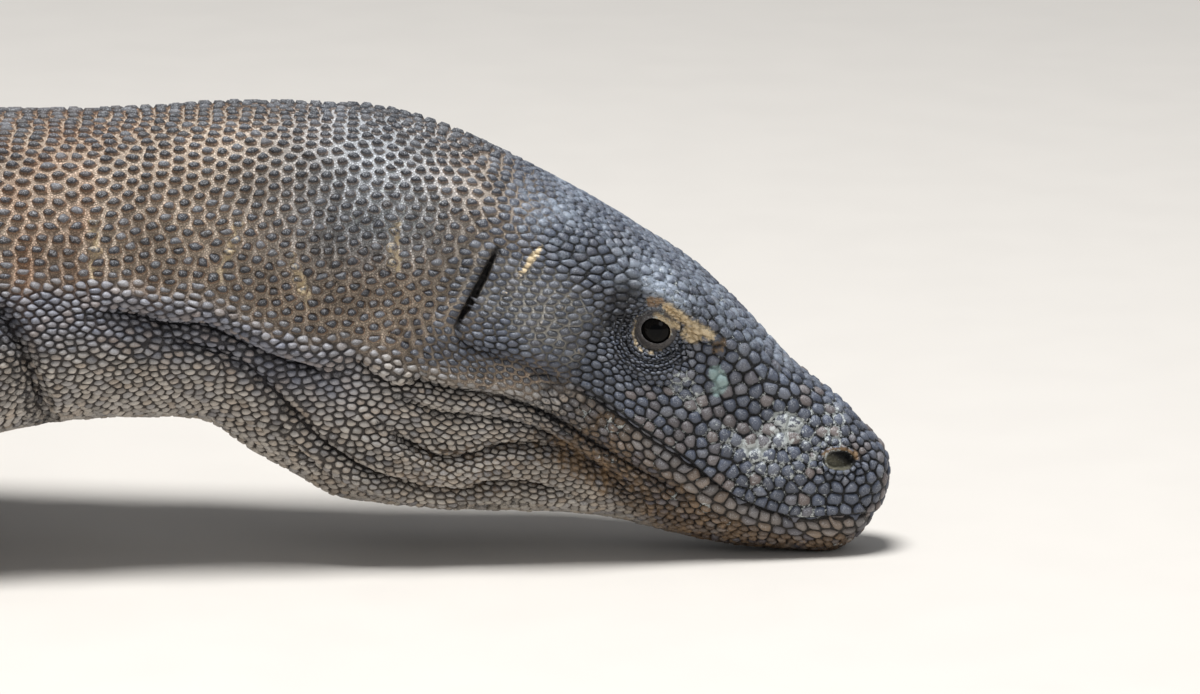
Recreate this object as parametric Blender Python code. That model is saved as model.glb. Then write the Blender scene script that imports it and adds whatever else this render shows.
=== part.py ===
"""A komodo dragon, life size and still: it lies on its belly, its neck arched and its chin on the floor.

Metres, +Z up. The floor is Z = 0, the nose points along +X and the origin is on the floor under the
middle of the belly. The flesh is lofted along one spine line, which starts at the snout. Distances
along it, from the snout back, are called stations. The legs are tubes, cut clear of what carries them.
"""

import math

import bmesh
import bpy
import numpy as np
from mathutils import Matrix, Vector

GAP = 0.0004  # between pieces that meet

# Stations of the spine line
EYE = 0.1292
HEAD_END = 0.215
NECK_START = 0.262
NECK_END = 0.430
BELLY_MIDDLE = 0.800
TRUNK_END = 1.210
TAIL_SPLITS = (1.660, 2.140)
TAIL_TIP = 2.650
ORIGIN_STATION = BELLY_MIDDLE

# Height of the spine line over the floor. The head slopes down at 30 degrees.
SPINE_HEIGHT = {
    0.000: 0.0105, 0.060: 0.0405, 0.130: 0.0755, 0.205: 0.1130, 0.262: 0.1370, 0.320: 0.1510,
    0.380: 0.1530, 0.440: 0.1470, 0.520: 0.1330, 0.650: 0.1190, 0.800: 0.1130, 1.000: 0.1080,
    1.120: 0.0990, 1.250: 0.0810, 1.400: 0.0640, 1.700: 0.0460, 2.000: 0.0330, 2.350: 0.0200,
    2.650: 0.0095,
}
# Heading of the spine, in degrees towards the animal's left as it runs back: the tail curls
SPINE_HEADING = {
    0.00: 0, 0.45: 0, 0.80: -2, 1.10: 0, 1.30: 6, 1.60: 20, 1.95: 14, 2.30: -22, 2.65: -48,
}

# Half sections of the head, across the spine: (half width, height over the spine line)
HEAD_SECTIONS = {
    0.024: {"crown": 0.0370, "brow": (0.0145, 0.0340), "orbit": (0.0205, 0.025),
            "cheek": (0.0235, 0.010), "lip": (0.0235, -0.005), "base": (0.0165, -0.0190),
            "throat": -0.0260},
    0.040: {"crown": 0.0430, "brow": (0.0165, 0.0390), "orbit": (0.0235, 0.027),
            "cheek": (0.0270, 0.009), "lip": (0.0275, -0.009), "base": (0.0200, -0.0260),
            "throat": -0.0345},
    0.060: {"crown": 0.0450, "brow": (0.0190, 0.0408), "orbit": (0.0260, 0.029),
            "cheek": (0.0305, 0.008), "lip": (0.0315, -0.011), "base": (0.0225, -0.0330),
            "throat": -0.0420},
    0.103: {"crown": 0.0560, "brow": (0.0300, 0.0534), "orbit": (0.0335, 0.034),
            "cheek": (0.0390, 0.010), "lip": (0.0405, -0.010), "base": (0.0290, -0.0440),
            "throat": -0.0540},
    0.130: {"crown": 0.0612, "brow": (0.0350, 0.0578), "orbit": (0.0380, 0.035),
            "cheek": (0.0450, 0.011), "lip": (0.0465, -0.011), "base": (0.0330, -0.0540),
            "throat": -0.0645},
    0.170: {"crown": 0.0640, "brow": (0.0365, 0.0570), "orbit": (0.0480, 0.036),
            "cheek": (0.0540, 0.008), "lip": (0.0530, -0.020), "base": (0.0400, -0.0730),
            "throat": -0.0880},
    0.215: {"crown": 0.0650, "brow": (0.0400, 0.0540), "orbit": (0.0520, 0.032),
            "cheek": (0.0560, 0.000), "lip": (0.0570, -0.036), "base": (0.0450, -0.0890),
            "throat": -0.1030},
}
SNOUT_ROUNDING = 0.026  # over this length from the tip the head's section grows to full size
SNOUT_BLUNTNESS = 2.2
SNOUT_CENTRE_HEIGHT = 0.010

# Body behind the head: height of the back and of the belly over the spine line, and half width
BACK = {
    0.262: 0.0635, 0.320: 0.0475, 0.380: 0.0420, 0.440: 0.0480, 0.520: 0.0720, 0.650: 0.1010,
    0.800: 0.1120, 1.000: 0.1040, 1.120: 0.0930, 1.250: 0.0780, 1.400: 0.0650, 1.700: 0.0480,
    2.000: 0.0340, 2.350: 0.0210, 2.650: 0.0080,
}
BELLY = {
    0.262: -0.1005, 0.320: -0.0890, 0.380: -0.0900, 0.440: -0.0930, 0.520: -0.1070,
    0.600: -0.1180, 0.650: -0.1210, 0.800: -0.1160, 1.000: -0.1110, 1.120: -0.1000,
    1.250: -0.0830, 1.400: -0.0660, 1.700: -0.0480, 2.000: -0.0350, 2.350: -0.0220, 2.650: -0.0115,
}
HALF_WIDTH = {
    0.262: 0.0600, 0.320: 0.0660, 0.380: 0.0750, 0.440: 0.0880, 0.520: 0.1120, 0.600: 0.1320,
    0.700: 0.1500, 0.800: 0.1560, 0.950: 0.1500, 1.050: 0.1310, 1.120: 0.1120, 1.250: 0.0800, 1.400: 0.0600,
    1.700: 0.0420, 2.000: 0.0300, 2.350: 0.0180, 2.650: 0.0070,
}
# Section shapes: (share of the half width, share of the depth down from the back)
ROUND = {"brow": (0.60, 0.07), "orbit": (0.86, 0.22), "cheek": (0.98, 0.46), "lip": (0.98, 0.72),
         "base": (0.62, 0.95)}
SLUMPED = {"brow": (0.50, 0.06), "orbit": (0.80, 0.25), "cheek": (0.97, 0.55), "lip": (1.00, 0.80),
           "base": (0.74, 0.970)}
KEELED = {"brow": (0.34, 0.08), "orbit": (0.72, 0.32), "cheek": (0.98, 0.62), "lip": (0.92, 0.84),
          "base": (0.55, 0.975)}
SLUMP_SHARE = {0.26: 0.0, 0.44: 0.25, 0.62: 1.0, 1.10: 1.0, 1.28: 0.0}
KEEL_SHARE = {1.10: 0.0, 1.35: 1.0}
TAIL_ROUNDING = 0.018

# The cut between the jaws, in the head's middle plane: station and height over the spine line
MOUTH_LINE = ((-0.010, 0.0080), (0.004, 0.0060), (0.018, -0.0010), (0.034, -0.0095),
              (0.055, -0.0130), (0.078, -0.0105), (0.104, -0.0062), (0.132, -0.0020), (0.148, -0.0020))
JAW_ANGLE_LINE = ((0.160, -0.0120), (0.164, -0.0320), (0.164, -0.0900), (0.164, -0.1300))

EYE_RADIUS = 0.0095
EYE_OUT = 0.0308
EYE_HEIGHT = 0.0348
NOSTRIL_STATION = 0.0287
NOSTRIL_HEIGHT = 0.0215
NOSTRIL_OUT = 0.0225
NOSTRIL_RADII = (0.0055, 0.0045, 0.0038)
EAR_STATION = 0.2060
EAR_HEIGHT = 0.0125
EAR_OUT = 0.0560
EAR_RADII = (0.0030, 0.0085, 0.0175)

# Materials: colour, roughness
HIDE = ("hide", (0.155, 0.140, 0.125), 0.75)
JAW_HIDE = ("jaw_hide", (0.190, 0.150, 0.110), 0.75)
LEG_HIDE = ("leg_hide", (0.170, 0.160, 0.140), 0.78)
EYE_GLOSS = ("eye", (0.020, 0.016, 0.014), 0.10)
HORN = ("claw_horn", (0.060, 0.050, 0.042), 0.35)


# ---------------------------------------------------------------- lines and sections
def smooth_line(knots):
    """A function through the knots, with no overshoot between them (a monotone cubic)."""
    x = np.array(sorted(knots), float)
    y = np.array([knots[k] for k in sorted(knots)], float)
    step, slope = np.diff(x), np.diff(y) / np.diff(x)
    tangent = np.empty_like(y)
    tangent[0], tangent[-1] = slope[0], slope[-1]
    for i in range(1, len(x) - 1):
        flat = slope[i - 1] * slope[i] <= 0
        before, after = 2 * step[i] + step[i - 1], step[i] + 2 * step[i - 1]
        tangent[i] = 0 if flat else (before + after) / (before / slope[i - 1] + after / slope[i])

    def value(at):
        at = min(max(at, x[0]), x[-1])
        i = min(max(int(np.searchsorted(x, at)) - 1, 0), len(x) - 2)
        t = (at - x[i]) / step[i]
        return ((1 + 2 * t) * (1 - t) ** 2 * y[i] + t * t * (3 - 2 * t) * y[i + 1]
                + t * (1 - t) * step[i] * ((1 - t) * tangent[i] - t * tangent[i + 1]))

    return value


class Spine:
    """The spine line as points and frames, found by walking back from the snout."""

    STEP = 0.002

    def __init__(self):
        height, heading = smooth_line(SPINE_HEIGHT), smooth_line(SPINE_HEADING)
        self.stations = np.arange(0, TAIL_TIP + 2 * self.STEP, self.STEP)
        heights = np.array([height(s) for s in self.stations])
        self.rise = np.gradient(heights, self.stations)
        self.heading = np.radians([heading(s) for s in self.stations])
        level = np.sqrt(1 - self.rise**2)
        x = -np.cumsum(level * np.cos(self.heading)) * self.STEP
        y = np.cumsum(level * np.sin(self.heading)) * self.STEP
        self.points = np.stack([x - x[0], y - y[0], heights], axis=1)
        origin = self.at(ORIGIN_STATION)
        self.points[:, :2] -= origin[:2]

    def at(self, station):
        return np.array([np.interp(station, self.stations, self.points[:, k]) for k in range(3)])

    def frame(self, station):
        """(point, towards the snout, up, towards the left) of the section at this station."""
        rise = float(np.interp(station, self.stations, self.rise))
        turn = float(np.interp(station, self.stations, self.heading))
        level = math.sqrt(1 - rise * rise)
        forward = Vector((math.cos(turn) * level, -math.sin(turn) * level, -rise))
        left = Vector((math.sin(turn), math.cos(turn), 0))
        return Vector(self.at(station)), forward, forward.cross(left), left


SPINE = Spine()
PARTS_OF_SECTION = ("brow", "orbit", "cheek", "lip", "base")


def head_half_section():
    """A function that gives the head's half section at a station, as seven (out, up) pairs."""
    lines = []
    for part in ("crown", *PARTS_OF_SECTION, "throat"):
        pairs = {s: at[part] if isinstance(at[part], tuple) else (0.0, at[part])
                 for s, at in HEAD_SECTIONS.items()}
        lines.append([smooth_line({s: pair[k] for s, pair in pairs.items()}) for k in (0, 1)])
    return lambda station: np.array([[line(station) for line in pair] for pair in lines])


def body_half_section():
    """A function that gives the half section of neck, trunk and tail at a station."""
    back, belly, half_width = smooth_line(BACK), smooth_line(BELLY), smooth_line(HALF_WIDTH)
    slump, keel = smooth_line(SLUMP_SHARE), smooth_line(KEEL_SHARE)

    def section(station):
        top, bottom, wide = back(station), belly(station), half_width(station)
        slumped, keeled = slump(station), keel(station)
        points = [(0.0, top)]
        for part in PARTS_OF_SECTION:
            shape = (np.array(ROUND[part]) * (1 - slumped - keeled)
                     + np.array(SLUMPED[part]) * slumped + np.array(KEELED[part]) * keeled)
            points.append((shape[0] * wide, top - shape[1] * (top - bottom)))
        return np.array([*points, (0.0, bottom)])

    return section


HEAD_HALF, BODY_HALF = head_half_section(), body_half_section()


def half_section(station):
    share = min(max((station - HEAD_END) / (NECK_START - HEAD_END), 0), 1)
    share = share * share * (3 - 2 * share)
    points = HEAD_HALF(station) * (1 - share) + BODY_HALF(station) * share
    if station < SNOUT_ROUNDING:
        grown = 1 - (1 - station / SNOUT_ROUNDING) ** SNOUT_BLUNTNESS
        centre = np.array([0.0, SNOUT_CENTRE_HEIGHT])
        points = centre + (points - centre) * grown ** (1 / SNOUT_BLUNTNESS)
    if station > TAIL_TIP - TAIL_ROUNDING:
        left_over = (TAIL_TIP - station) / TAIL_ROUNDING
        points = points * math.sqrt(max(1 - (1 - left_over) ** 2, 0))
    return points


def section_ring(station, per_span):
    """World points of the closed section, a smooth curve through its twelve marks."""
    half = half_section(station)
    marks = np.concatenate([half, half[-2:0:-1] * (-1, 1)])
    point, _, up, left = SPINE.frame(station)
    ring = []
    for i in range(len(marks)):
        a, b, c, d = (marks[(i + k) % len(marks)] for k in (-1, 0, 1, 2))
        for t in np.arange(per_span) / per_span:
            flat = 0.5 * (2 * b + (c - a) * t + (2 * a - 5 * b + 4 * c - d) * t**2
                          + (3 * b - a - 3 * c + d) * t**3)
            ring.append(point + left * float(flat[0]) + up * float(flat[1]))
    return ring


# ---------------------------------------------------------------- making solids
def clear_scene():
    for old in list(bpy.data.objects):
        bpy.data.objects.remove(old)


def material(look):
    name, colour, roughness = look
    made = bpy.data.materials.get(name) or bpy.data.materials.new(name)
    made.use_nodes = True
    shader = made.node_tree.nodes["Principled BSDF"]
    shader.inputs["Base Color"].default_value = (*colour, 1)
    shader.inputs["Roughness"].default_value = roughness
    return made


def add_mesh(name, mesh, look, collection):
    made = bpy.data.objects.new(name, mesh)
    collection.objects.link(made)
    made.data.materials.clear()
    made.data.materials.append(material(look))
    return made


def loft(name, stations, per_span, look, collection):
    """A closed solid through the body's sections at these stations."""
    shape = bmesh.new()
    rings = [[shape.verts.new(p) for p in section_ring(s, per_span)] for s in stations]
    for ahead, behind in zip(rings, rings[1:]):
        for i in range(len(ahead)):
            j = (i + 1) % len(ahead)
            shape.faces.new((ahead[i], ahead[j], behind[j], behind[i]))
    shape.faces.new(rings[0][::-1])
    shape.faces.new(rings[-1])
    bmesh.ops.recalc_face_normals(shape, faces=shape.faces)
    mesh = bpy.data.meshes.new(name)
    shape.to_mesh(mesh)
    shape.free()
    return add_mesh(name, mesh, look, collection)


def as_mesh(made, look, collection):
    """Replaces an object by the plain mesh that it evaluates to, in world space."""
    bpy.context.view_layer.update()
    seen = made.evaluated_get(bpy.context.evaluated_depsgraph_get())
    mesh = bpy.data.meshes.new_from_object(seen)
    mesh.transform(made.matrix_world)
    name = made.name
    bpy.data.objects.remove(made)
    shape = bmesh.new()
    shape.from_mesh(mesh)
    bmesh.ops.remove_doubles(shape, verts=shape.verts, dist=1e-6)
    bmesh.ops.recalc_face_normals(shape, faces=shape.faces)
    shape.to_mesh(mesh)
    shape.free()
    return add_mesh(name, mesh, look, collection)


def tapered_tube(name, points, radii, sides_detail, look, collection):
    """A solid tube along a line, as a bevelled curve whose radius changes from point to point."""
    curve = bpy.data.curves.new(name, "CURVE")
    curve.dimensions = "3D"
    curve.bevel_depth = 1.0
    curve.bevel_resolution = sides_detail
    curve.use_fill_caps = True
    spline = curve.splines.new("POLY")
    spline.points.add(len(points) - 1)
    for point, place, radius in zip(spline.points, points, radii):
        point.co = (*place, 1)
        point.radius = radius
    made = bpy.data.objects.new(name, curve)
    collection.objects.link(made)
    return as_mesh(made, look, collection)


def ellipsoid(name, centre, radii, turn, segments, look, collection):
    bpy.ops.mesh.primitive_uv_sphere_add(segments=segments, ring_count=segments // 2, radius=1)
    made = bpy.context.object
    made.name = name
    for old in list(made.users_collection):
        old.objects.unlink(made)
    collection.objects.link(made)
    made.matrix_world = Matrix.Translation(centre) @ turn.to_4x4() @ Matrix.Diagonal((*radii, 1))
    return as_mesh(made, look, collection)


def swollen(made, cutters, by=GAP):
    """A helper copy that stands this much proud of the solid, for cutting a neighbour clear of it."""
    shape = bmesh.new()
    shape.from_mesh(made.data)
    shape.normal_update()
    for vert, normal in [(v, v.normal.copy()) for v in shape.verts]:
        vert.co += normal * by
    mesh = bpy.data.meshes.new(made.name + "_swollen")
    shape.to_mesh(mesh)
    shape.free()
    return as_cutter(bpy.data.objects.new(mesh.name, mesh), cutters)


def as_cutter(made, cutters):
    if made.name not in cutters.objects:
        cutters.objects.link(made)
    made.hide_render = True
    made.display_type = "WIRE"
    return made


def boolean(made, others, operation):
    """Cuts the others from a mesh, or joins them to it, and keeps the result as its mesh."""
    for other in others:
        modifier = made.modifiers.new(operation.lower(), "BOOLEAN")
        modifier.operation = operation
        modifier.solver = "EXACT"
        modifier.object = other
    bpy.context.view_layer.update()
    seen = made.evaluated_get(bpy.context.evaluated_depsgraph_get())
    mesh = bpy.data.meshes.new_from_object(seen)
    made.modifiers.clear()
    made.data = mesh
    for other in others:
        bpy.data.objects.remove(other)
    return made


def floor_block(cutters):
    """Everything below the floor, as a cutter."""
    bpy.ops.mesh.primitive_cube_add(size=1, location=(0, 0, -0.5), scale=(6, 6, 1))
    block = bpy.context.object
    for old in list(block.users_collection):
        old.objects.unlink(block)
    return as_cutter(block, cutters)


def rest_on_floor(made, cutters):
    return boolean(made, [floor_block(cutters)], "DIFFERENCE")


# ---------------------------------------------------------------- head
def head_point(station, out, height, side=1):
    """World place from a station on the head, a distance out from its middle and a height."""
    point, _, up, left = SPINE.frame(station)
    return point + left * (out * side) + up * height


def head_turn(station=EYE):
    """Rotation whose axes are the head's forward, left and up."""
    _, forward, up, left = SPINE.frame(station)
    return Matrix((forward, left, up)).transposed()


def mouth_blade(cutters):
    """A thin curved sheet that parts the jaws along the lips and drops behind the jaw's corner."""
    line = np.array(MOUTH_LINE + JAW_ANGLE_LINE)
    along = np.gradient(line, axis=0)
    across = np.stack([-along[:, 1], along[:, 0]], axis=1)
    across *= GAP / 2 / np.linalg.norm(across, axis=1, keepdims=True)
    outline = np.concatenate([line + across, (line - across)[::-1]])
    half = 0.12
    shape = bmesh.new()
    sides = [[shape.verts.new(head_point(s, half, h, side)) for s, h in outline] for side in (1, -1)]
    count = len(line)
    for a, b in zip(range(count - 1), range(1, count)):
        low_a, low_b = 2 * count - 1 - a, 2 * count - 1 - b
        for side in sides:
            shape.faces.new((side[a], side[b], side[low_b], side[low_a]))
    for i in range(len(outline)):
        j = (i + 1) % len(outline)
        shape.faces.new((sides[0][i], sides[0][j], sides[1][j], sides[1][i]))
    bmesh.ops.recalc_face_normals(shape, faces=shape.faces)
    mesh = bpy.data.meshes.new("mouth_blade")
    shape.to_mesh(mesh)
    shape.free()
    return as_cutter(bpy.data.objects.new("mouth_blade", mesh), cutters)


def eyes(body):
    made = []
    for side, word in ((1, "left"), (-1, "right")):
        centre = head_point(EYE, EYE_OUT, EYE_HEIGHT, side)
        made.append(ellipsoid(f"eye_{word}", centre, (EYE_RADIUS,) * 3, head_turn(), 12,
                              EYE_GLOSS, body))
    return made


def nostrils_and_ears(cutters):
    found = []
    for side in (1, -1):
        nose = head_point(NOSTRIL_STATION, NOSTRIL_OUT, NOSTRIL_HEIGHT, side)
        ear = head_point(EAR_STATION, EAR_OUT, EAR_HEIGHT, side)
        found.append(ellipsoid("nostril", nose, NOSTRIL_RADII, head_turn(), 12, HIDE, cutters))
        found.append(ellipsoid("ear", ear, EAR_RADII, head_turn(), 14, HIDE, cutters))
    return [as_cutter(hole, cutters) for hole in found]


def separate_bodies(made):
    """The loose bodies of a mesh object as new meshes, the one furthest forward first."""
    shape = bmesh.new()
    shape.from_mesh(made.data)
    shape.verts.ensure_lookup_table()
    left, found = set(shape.verts), []
    while left:
        todo, body = [left.pop()], set()
        while todo:
            vert = todo.pop()
            body.add(vert)
            linked = {edge.other_vert(vert) for edge in vert.link_edges} & left
            left -= linked
            todo += linked
        found.append({v.index for v in body})
    shape.free()
    meshes = []
    for keep in found:
        part = bmesh.new()
        part.from_mesh(made.data)
        part.verts.ensure_lookup_table()
        gone = [v for v in part.verts if v.index not in keep]
        bmesh.ops.delete(part, geom=gone, context="VERTS")
        mesh = bpy.data.meshes.new(made.name)
        part.to_mesh(mesh)
        low = min(v.co.z for v in part.verts)
        part.free()
        meshes.append((low, mesh))
    return [mesh for _, mesh in sorted(meshes, key=lambda pair: pair[0])]


def head_and_jaw(body, cutters):
    """The skull with its upper jaw, and the lower jaw with the throat under the tongue."""
    snout = SNOUT_ROUNDING * (1 - np.cos(np.linspace(0.12, math.pi / 2, 6)))
    rest = np.linspace(SNOUT_ROUNDING, HEAD_END, 15)[1:]
    whole = loft("head", [*snout, *rest], 3, HIDE, body)
    cuts = [swollen(eye, cutters) for eye in eyes(body)]
    cuts += nostrils_and_ears(cutters) + [mouth_blade(cutters)]
    boolean(whole, cuts, "DIFFERENCE")
    jaw_mesh, head_mesh = separate_bodies(whole)
    whole.data = head_mesh
    jaw = add_mesh("lower_jaw", jaw_mesh, JAW_HIDE, body)
    rest_on_floor(jaw, cutters)


# ---------------------------------------------------------------- neck, trunk and tail
def spine_lengths(body, cutters):
    """Neck, trunk and the tail's three lengths, each a loft that stops short of the next."""
    ends = (HEAD_END, NECK_END, TRUNK_END, *TAIL_SPLITS, TAIL_TIP)
    names = ("neck", "trunk", "tail_base", "tail_middle", "tail_end")
    counts = (13, 19, 9, 9, 11)
    spans = (3, 2, 2, 2, 1)
    made = {}
    for name, start, end, count, span in zip(names, ends, ends[1:], counts, spans):
        last = end if end < TAIL_TIP else TAIL_TIP - 0.0004
        stations = np.linspace(start + GAP, last, count)
        made[name] = loft(name, stations, span, HIDE, body)
        if name != "neck":
            rest_on_floor(made[name], cutters)
    return made


# ---------------------------------------------------------------- legs
class Leg:
    """Where a leg's joints are in the world, and its sizes."""

    def __init__(self, name, root, bend, end, toes_to, thick, foot):
        self.name, self.foot = name, foot
        self.root, self.bend, self.end = (Vector(p) for p in (root, bend, end))
        self.toes_to = math.radians(toes_to)
        self.thick = thick


def muscle(start, end, radii, count=7):
    """Points and radii of a limb segment with rounded ends, thickest where the radii say."""
    start_radius, belly_radius, end_radius = radii
    swell = smooth_line({0.0: start_radius, 0.38: belly_radius, 1.0: end_radius})
    axis = end - start
    length = axis.length
    points, sizes = [], []
    for t in (1 - np.cos(np.linspace(0, math.pi, count))) / 2:
        reach = -start_radius + t * (length + start_radius + end_radius)
        share = min(max(reach / length, 0), 1)
        radius = swell(share)
        beyond = max(-reach / start_radius, (reach - length) / end_radius, 0)
        size = radius * math.sqrt(max(1 - beyond**2, 0.0004))
        points.append(start + axis * (reach / length))
        sizes.append(size)
    return points, sizes


def toe_line(start, heading, length, radius):
    """A toe's middle line: out of the palm, up over the knuckle and down to the claw."""
    ahead = Vector((math.cos(heading), math.sin(heading), 0))
    heights = smooth_line({0.0: 0.016, 0.35: 0.0175, 0.7: 0.0125, 1.0: 0.0100})
    shares = (0.0, 0.35, 0.75, 1.0)
    points = [start + ahead * (length * t) + Vector((0, 0, heights(t) - start.z)) for t in shares]
    sizes = [radius * (1 - 0.26 * t) * (1.10 if t == 0.75 else 1.0) for t in shares]
    return points, sizes, ahead


def foot_and_claws(leg, body, cutters):
    """A palm with five toes as one solid, and its five claws."""
    size = leg.foot
    heading = Vector((math.cos(leg.toes_to), math.sin(leg.toes_to), 0))
    across = Vector((-heading.y, heading.x, 0))
    centre = Vector((leg.end.x, leg.end.y, size["palm"][2] * 0.80)) + heading * size["palm"][0] * 0.55
    turn = Matrix.Rotation(leg.toes_to, 3, "Z")
    palm = ellipsoid(f"{leg.name}_foot", centre, size["palm"], turn, 12, LEG_HIDE, body)
    outer = 1 if leg.root.y > 0 else -1
    toes = []
    for i, (fan, length) in enumerate(zip(size["fan"], size["toes"])):
        angle = leg.toes_to + math.radians(fan) * outer
        side = (i - 2) / 2
        start = centre + heading * size["palm"][0] * 0.25 + across * (side * 0.60 * size["palm"][1] * outer)
        points, sizes, ahead = toe_line(start, angle, size["palm"][0] * 0.55 + length, size["toe_radius"])
        toe = tapered_tube(f"{leg.name}_toe", points, sizes, 1, LEG_HIDE, cutters)
        toes.append(as_cutter(toe, cutters))
        claw(f"{leg.name}_claw_{i + 1}", points, sizes[-1], size["claw"], body, cutters)
    return boolean(palm, toes, "UNION")


def claw(name, toe_points, toe_size, length, body, cutters):
    """A curved claw that starts just clear of the toe's flat end and hooks down to the floor."""
    out = (toe_points[-1] - toe_points[-2]).normalized()
    root = toe_points[-1] + out * GAP
    level = Vector((out.x, out.y, 0)).normalized()
    points, sizes = [root, root + out * 0.002], [toe_size * 0.80] * 2
    for t in (0.35, 0.7, 1.0):
        drop = -0.0100 * t**2.2 + 0.004 * math.sin(math.pi * t)
        points.append(root + level * (length * t) + Vector((0, 0, drop)))
        sizes.append(toe_size * (0.80 * (1 - t) ** 0.75 + 0.07))
    made = tapered_tube(name, points, sizes, 1, HORN, body)
    return rest_on_floor(made, cutters)


HAND = {"palm": (0.038, 0.033, 0.019), "toes": (0.030, 0.040, 0.044, 0.040, 0.030),
        "fan": (-46, -22, 0, 22, 48), "toe_radius": 0.0115, "claw": 0.030}
SOLE = {"palm": (0.046, 0.034, 0.021), "toes": (0.030, 0.046, 0.060, 0.072, 0.034),
        "fan": (-34, -16, 0, 15, 50), "toe_radius": 0.0120, "claw": 0.030}
ARM = ((0.046, 0.047, 0.037), (0.029, 0.042, 0.023))
THIGH = ((0.056, 0.060, 0.043), (0.033, 0.045, 0.026))
SHOULDER = SPINE.at(0.478)[0]
HIP = SPINE.at(1.115)[0]
LEGS = (
    Leg("foreleg_left", (SHOULDER, 0.064, 0.098), (SHOULDER - 0.098, 0.190, 0.080),
        (SHOULDER - 0.052, 0.286, 0.036), 38, ARM, HAND),
    Leg("foreleg_right", (SHOULDER - 0.010, -0.064, 0.098), (SHOULDER - 0.112, -0.182, 0.078),
        (SHOULDER - 0.082, -0.284, 0.036), -56, ARM, HAND),
    Leg("hindleg_left", (HIP, 0.054, 0.086), (HIP + 0.122, 0.206, 0.094),
        (HIP + 0.030, 0.306, 0.040), 34, THIGH, SOLE),
    Leg("hindleg_right", (HIP, -0.054, 0.086), (HIP + 0.108, -0.214, 0.092),
        (HIP + 0.006, -0.306, 0.040), -42, THIGH, SOLE),
)


def make_leg(leg, carriers, body, cutters):
    """Upper and lower leg, foot and claws, each cut clear of the piece that carries it."""
    foot = foot_and_claws(leg, body, cutters)
    upper_radii, lower_radii = leg.thick
    points, sizes = muscle(leg.root, leg.bend, upper_radii)
    upper = tapered_tube(f"{leg.name}_upper", points, sizes, 4, LEG_HIDE, body)
    points, sizes = muscle(leg.bend, leg.end, lower_radii)
    lower = tapered_tube(f"{leg.name}_lower", points, sizes, 4, LEG_HIDE, body)
    boolean(foot, [swollen(lower, cutters)], "DIFFERENCE")
    boolean(lower, [swollen(upper, cutters)], "DIFFERENCE")
    boolean(upper, [swollen(part, cutters) for part in carriers], "DIFFERENCE")
    for made in (upper, lower, foot):
        keep_biggest(made)
        rest_on_floor(made, cutters)


def keep_biggest(made):
    """Drops slivers that a cut left loose from the main body."""
    meshes = separate_bodies(made)
    made.data = max(meshes, key=lambda mesh: np.ptp([v.co for v in mesh.vertices], axis=0).prod())


def build():
    clear_scene()
    body = bpy.data.collections.new("komodo_dragon")
    cutters = bpy.data.collections.new("cutters")
    for collection in (body, cutters):
        bpy.context.scene.collection.children.link(collection)
    head_and_jaw(body, cutters)
    lengths = spine_lengths(body, cutters)
    for leg in LEGS:
        near = [lengths["trunk"]] + ([lengths["neck"]] if "fore" in leg.name else [lengths["tail_base"]])
        make_leg(leg, near, body, cutters)


build()
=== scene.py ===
# %% [markdown]
# # A komodo dragon in its skin
#
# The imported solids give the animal's body. This file lays one skin over them, sculpts the folds and
# the face into it, and covers it with tens of thousands of separate scales. The eyes and claws stay
# separate pieces. Lengths are metres.
#
# The recipe for the scales has four steps, and each is worth reuse:
# 1. every place on the skin says how far apart its scales are and how tall,
# 2. seeds are scattered to that spacing and then push each other apart,
# 3. each seed gets its cell, the polygon of all that is nearer to it than to its neighbours,
# 4. a Geometry Nodes tree raises each flat cell to a dome.

import math
from contextlib import contextmanager

import bmesh
import bpy
import numpy as np
from mathutils import Matrix, Vector, noise
from mathutils.bvhtree import BVHTree
from mathutils.kdtree import KDTree


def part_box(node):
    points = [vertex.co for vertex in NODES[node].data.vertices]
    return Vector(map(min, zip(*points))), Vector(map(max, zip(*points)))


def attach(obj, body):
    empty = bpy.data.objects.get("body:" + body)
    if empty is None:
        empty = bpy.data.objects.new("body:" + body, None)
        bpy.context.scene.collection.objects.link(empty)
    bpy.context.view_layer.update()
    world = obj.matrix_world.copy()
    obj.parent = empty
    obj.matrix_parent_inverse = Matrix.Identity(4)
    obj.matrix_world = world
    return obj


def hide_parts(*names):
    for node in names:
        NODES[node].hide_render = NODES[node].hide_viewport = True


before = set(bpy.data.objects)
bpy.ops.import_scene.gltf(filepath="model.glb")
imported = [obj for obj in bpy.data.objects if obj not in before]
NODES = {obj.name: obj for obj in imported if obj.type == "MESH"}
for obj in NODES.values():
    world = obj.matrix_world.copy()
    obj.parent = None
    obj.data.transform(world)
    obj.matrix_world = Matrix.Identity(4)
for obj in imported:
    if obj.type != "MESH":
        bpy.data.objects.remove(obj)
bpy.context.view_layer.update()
RANDOM = np.random.default_rng(11)
MM = 0.001
print("nodes", len(NODES))

# %% [markdown]
# ## Two views to measure in
#
# Features of the face are placed in the head's own view, which slopes with the head: `u` runs back
# from the snout along the head's axis and `n` is the height over that axis. Features of the neck are
# placed in the plain side view: distance back from the snout and height over the floor. Both views
# also give `out`, the distance from the middle plane, which is negative on the animal's right.

# %% The head's view and the side view
HEAD_SLOPE = math.radians(30)
HEAD_LOW, HEAD_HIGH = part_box("head")
AXIS_START = np.array([HEAD_HIGH.x - 0.0094, (HEAD_LOW.y + HEAD_HIGH.y) / 2, 0.0105])


def side_view(points):
    """(back, height, out) of each point."""
    return AXIS_START[0] - points[:, 0], points[:, 2], points[:, 1] - AXIS_START[1]


def head_view(points):
    """(u, n, out) of each point."""
    back, height, out = side_view(points)
    rise = height - AXIS_START[2]
    across, along = math.sin(HEAD_SLOPE), math.cos(HEAD_SLOPE)
    return back * along + rise * across, rise * along - back * across, out


print("head axis starts at", AXIS_START.round(4))

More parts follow.
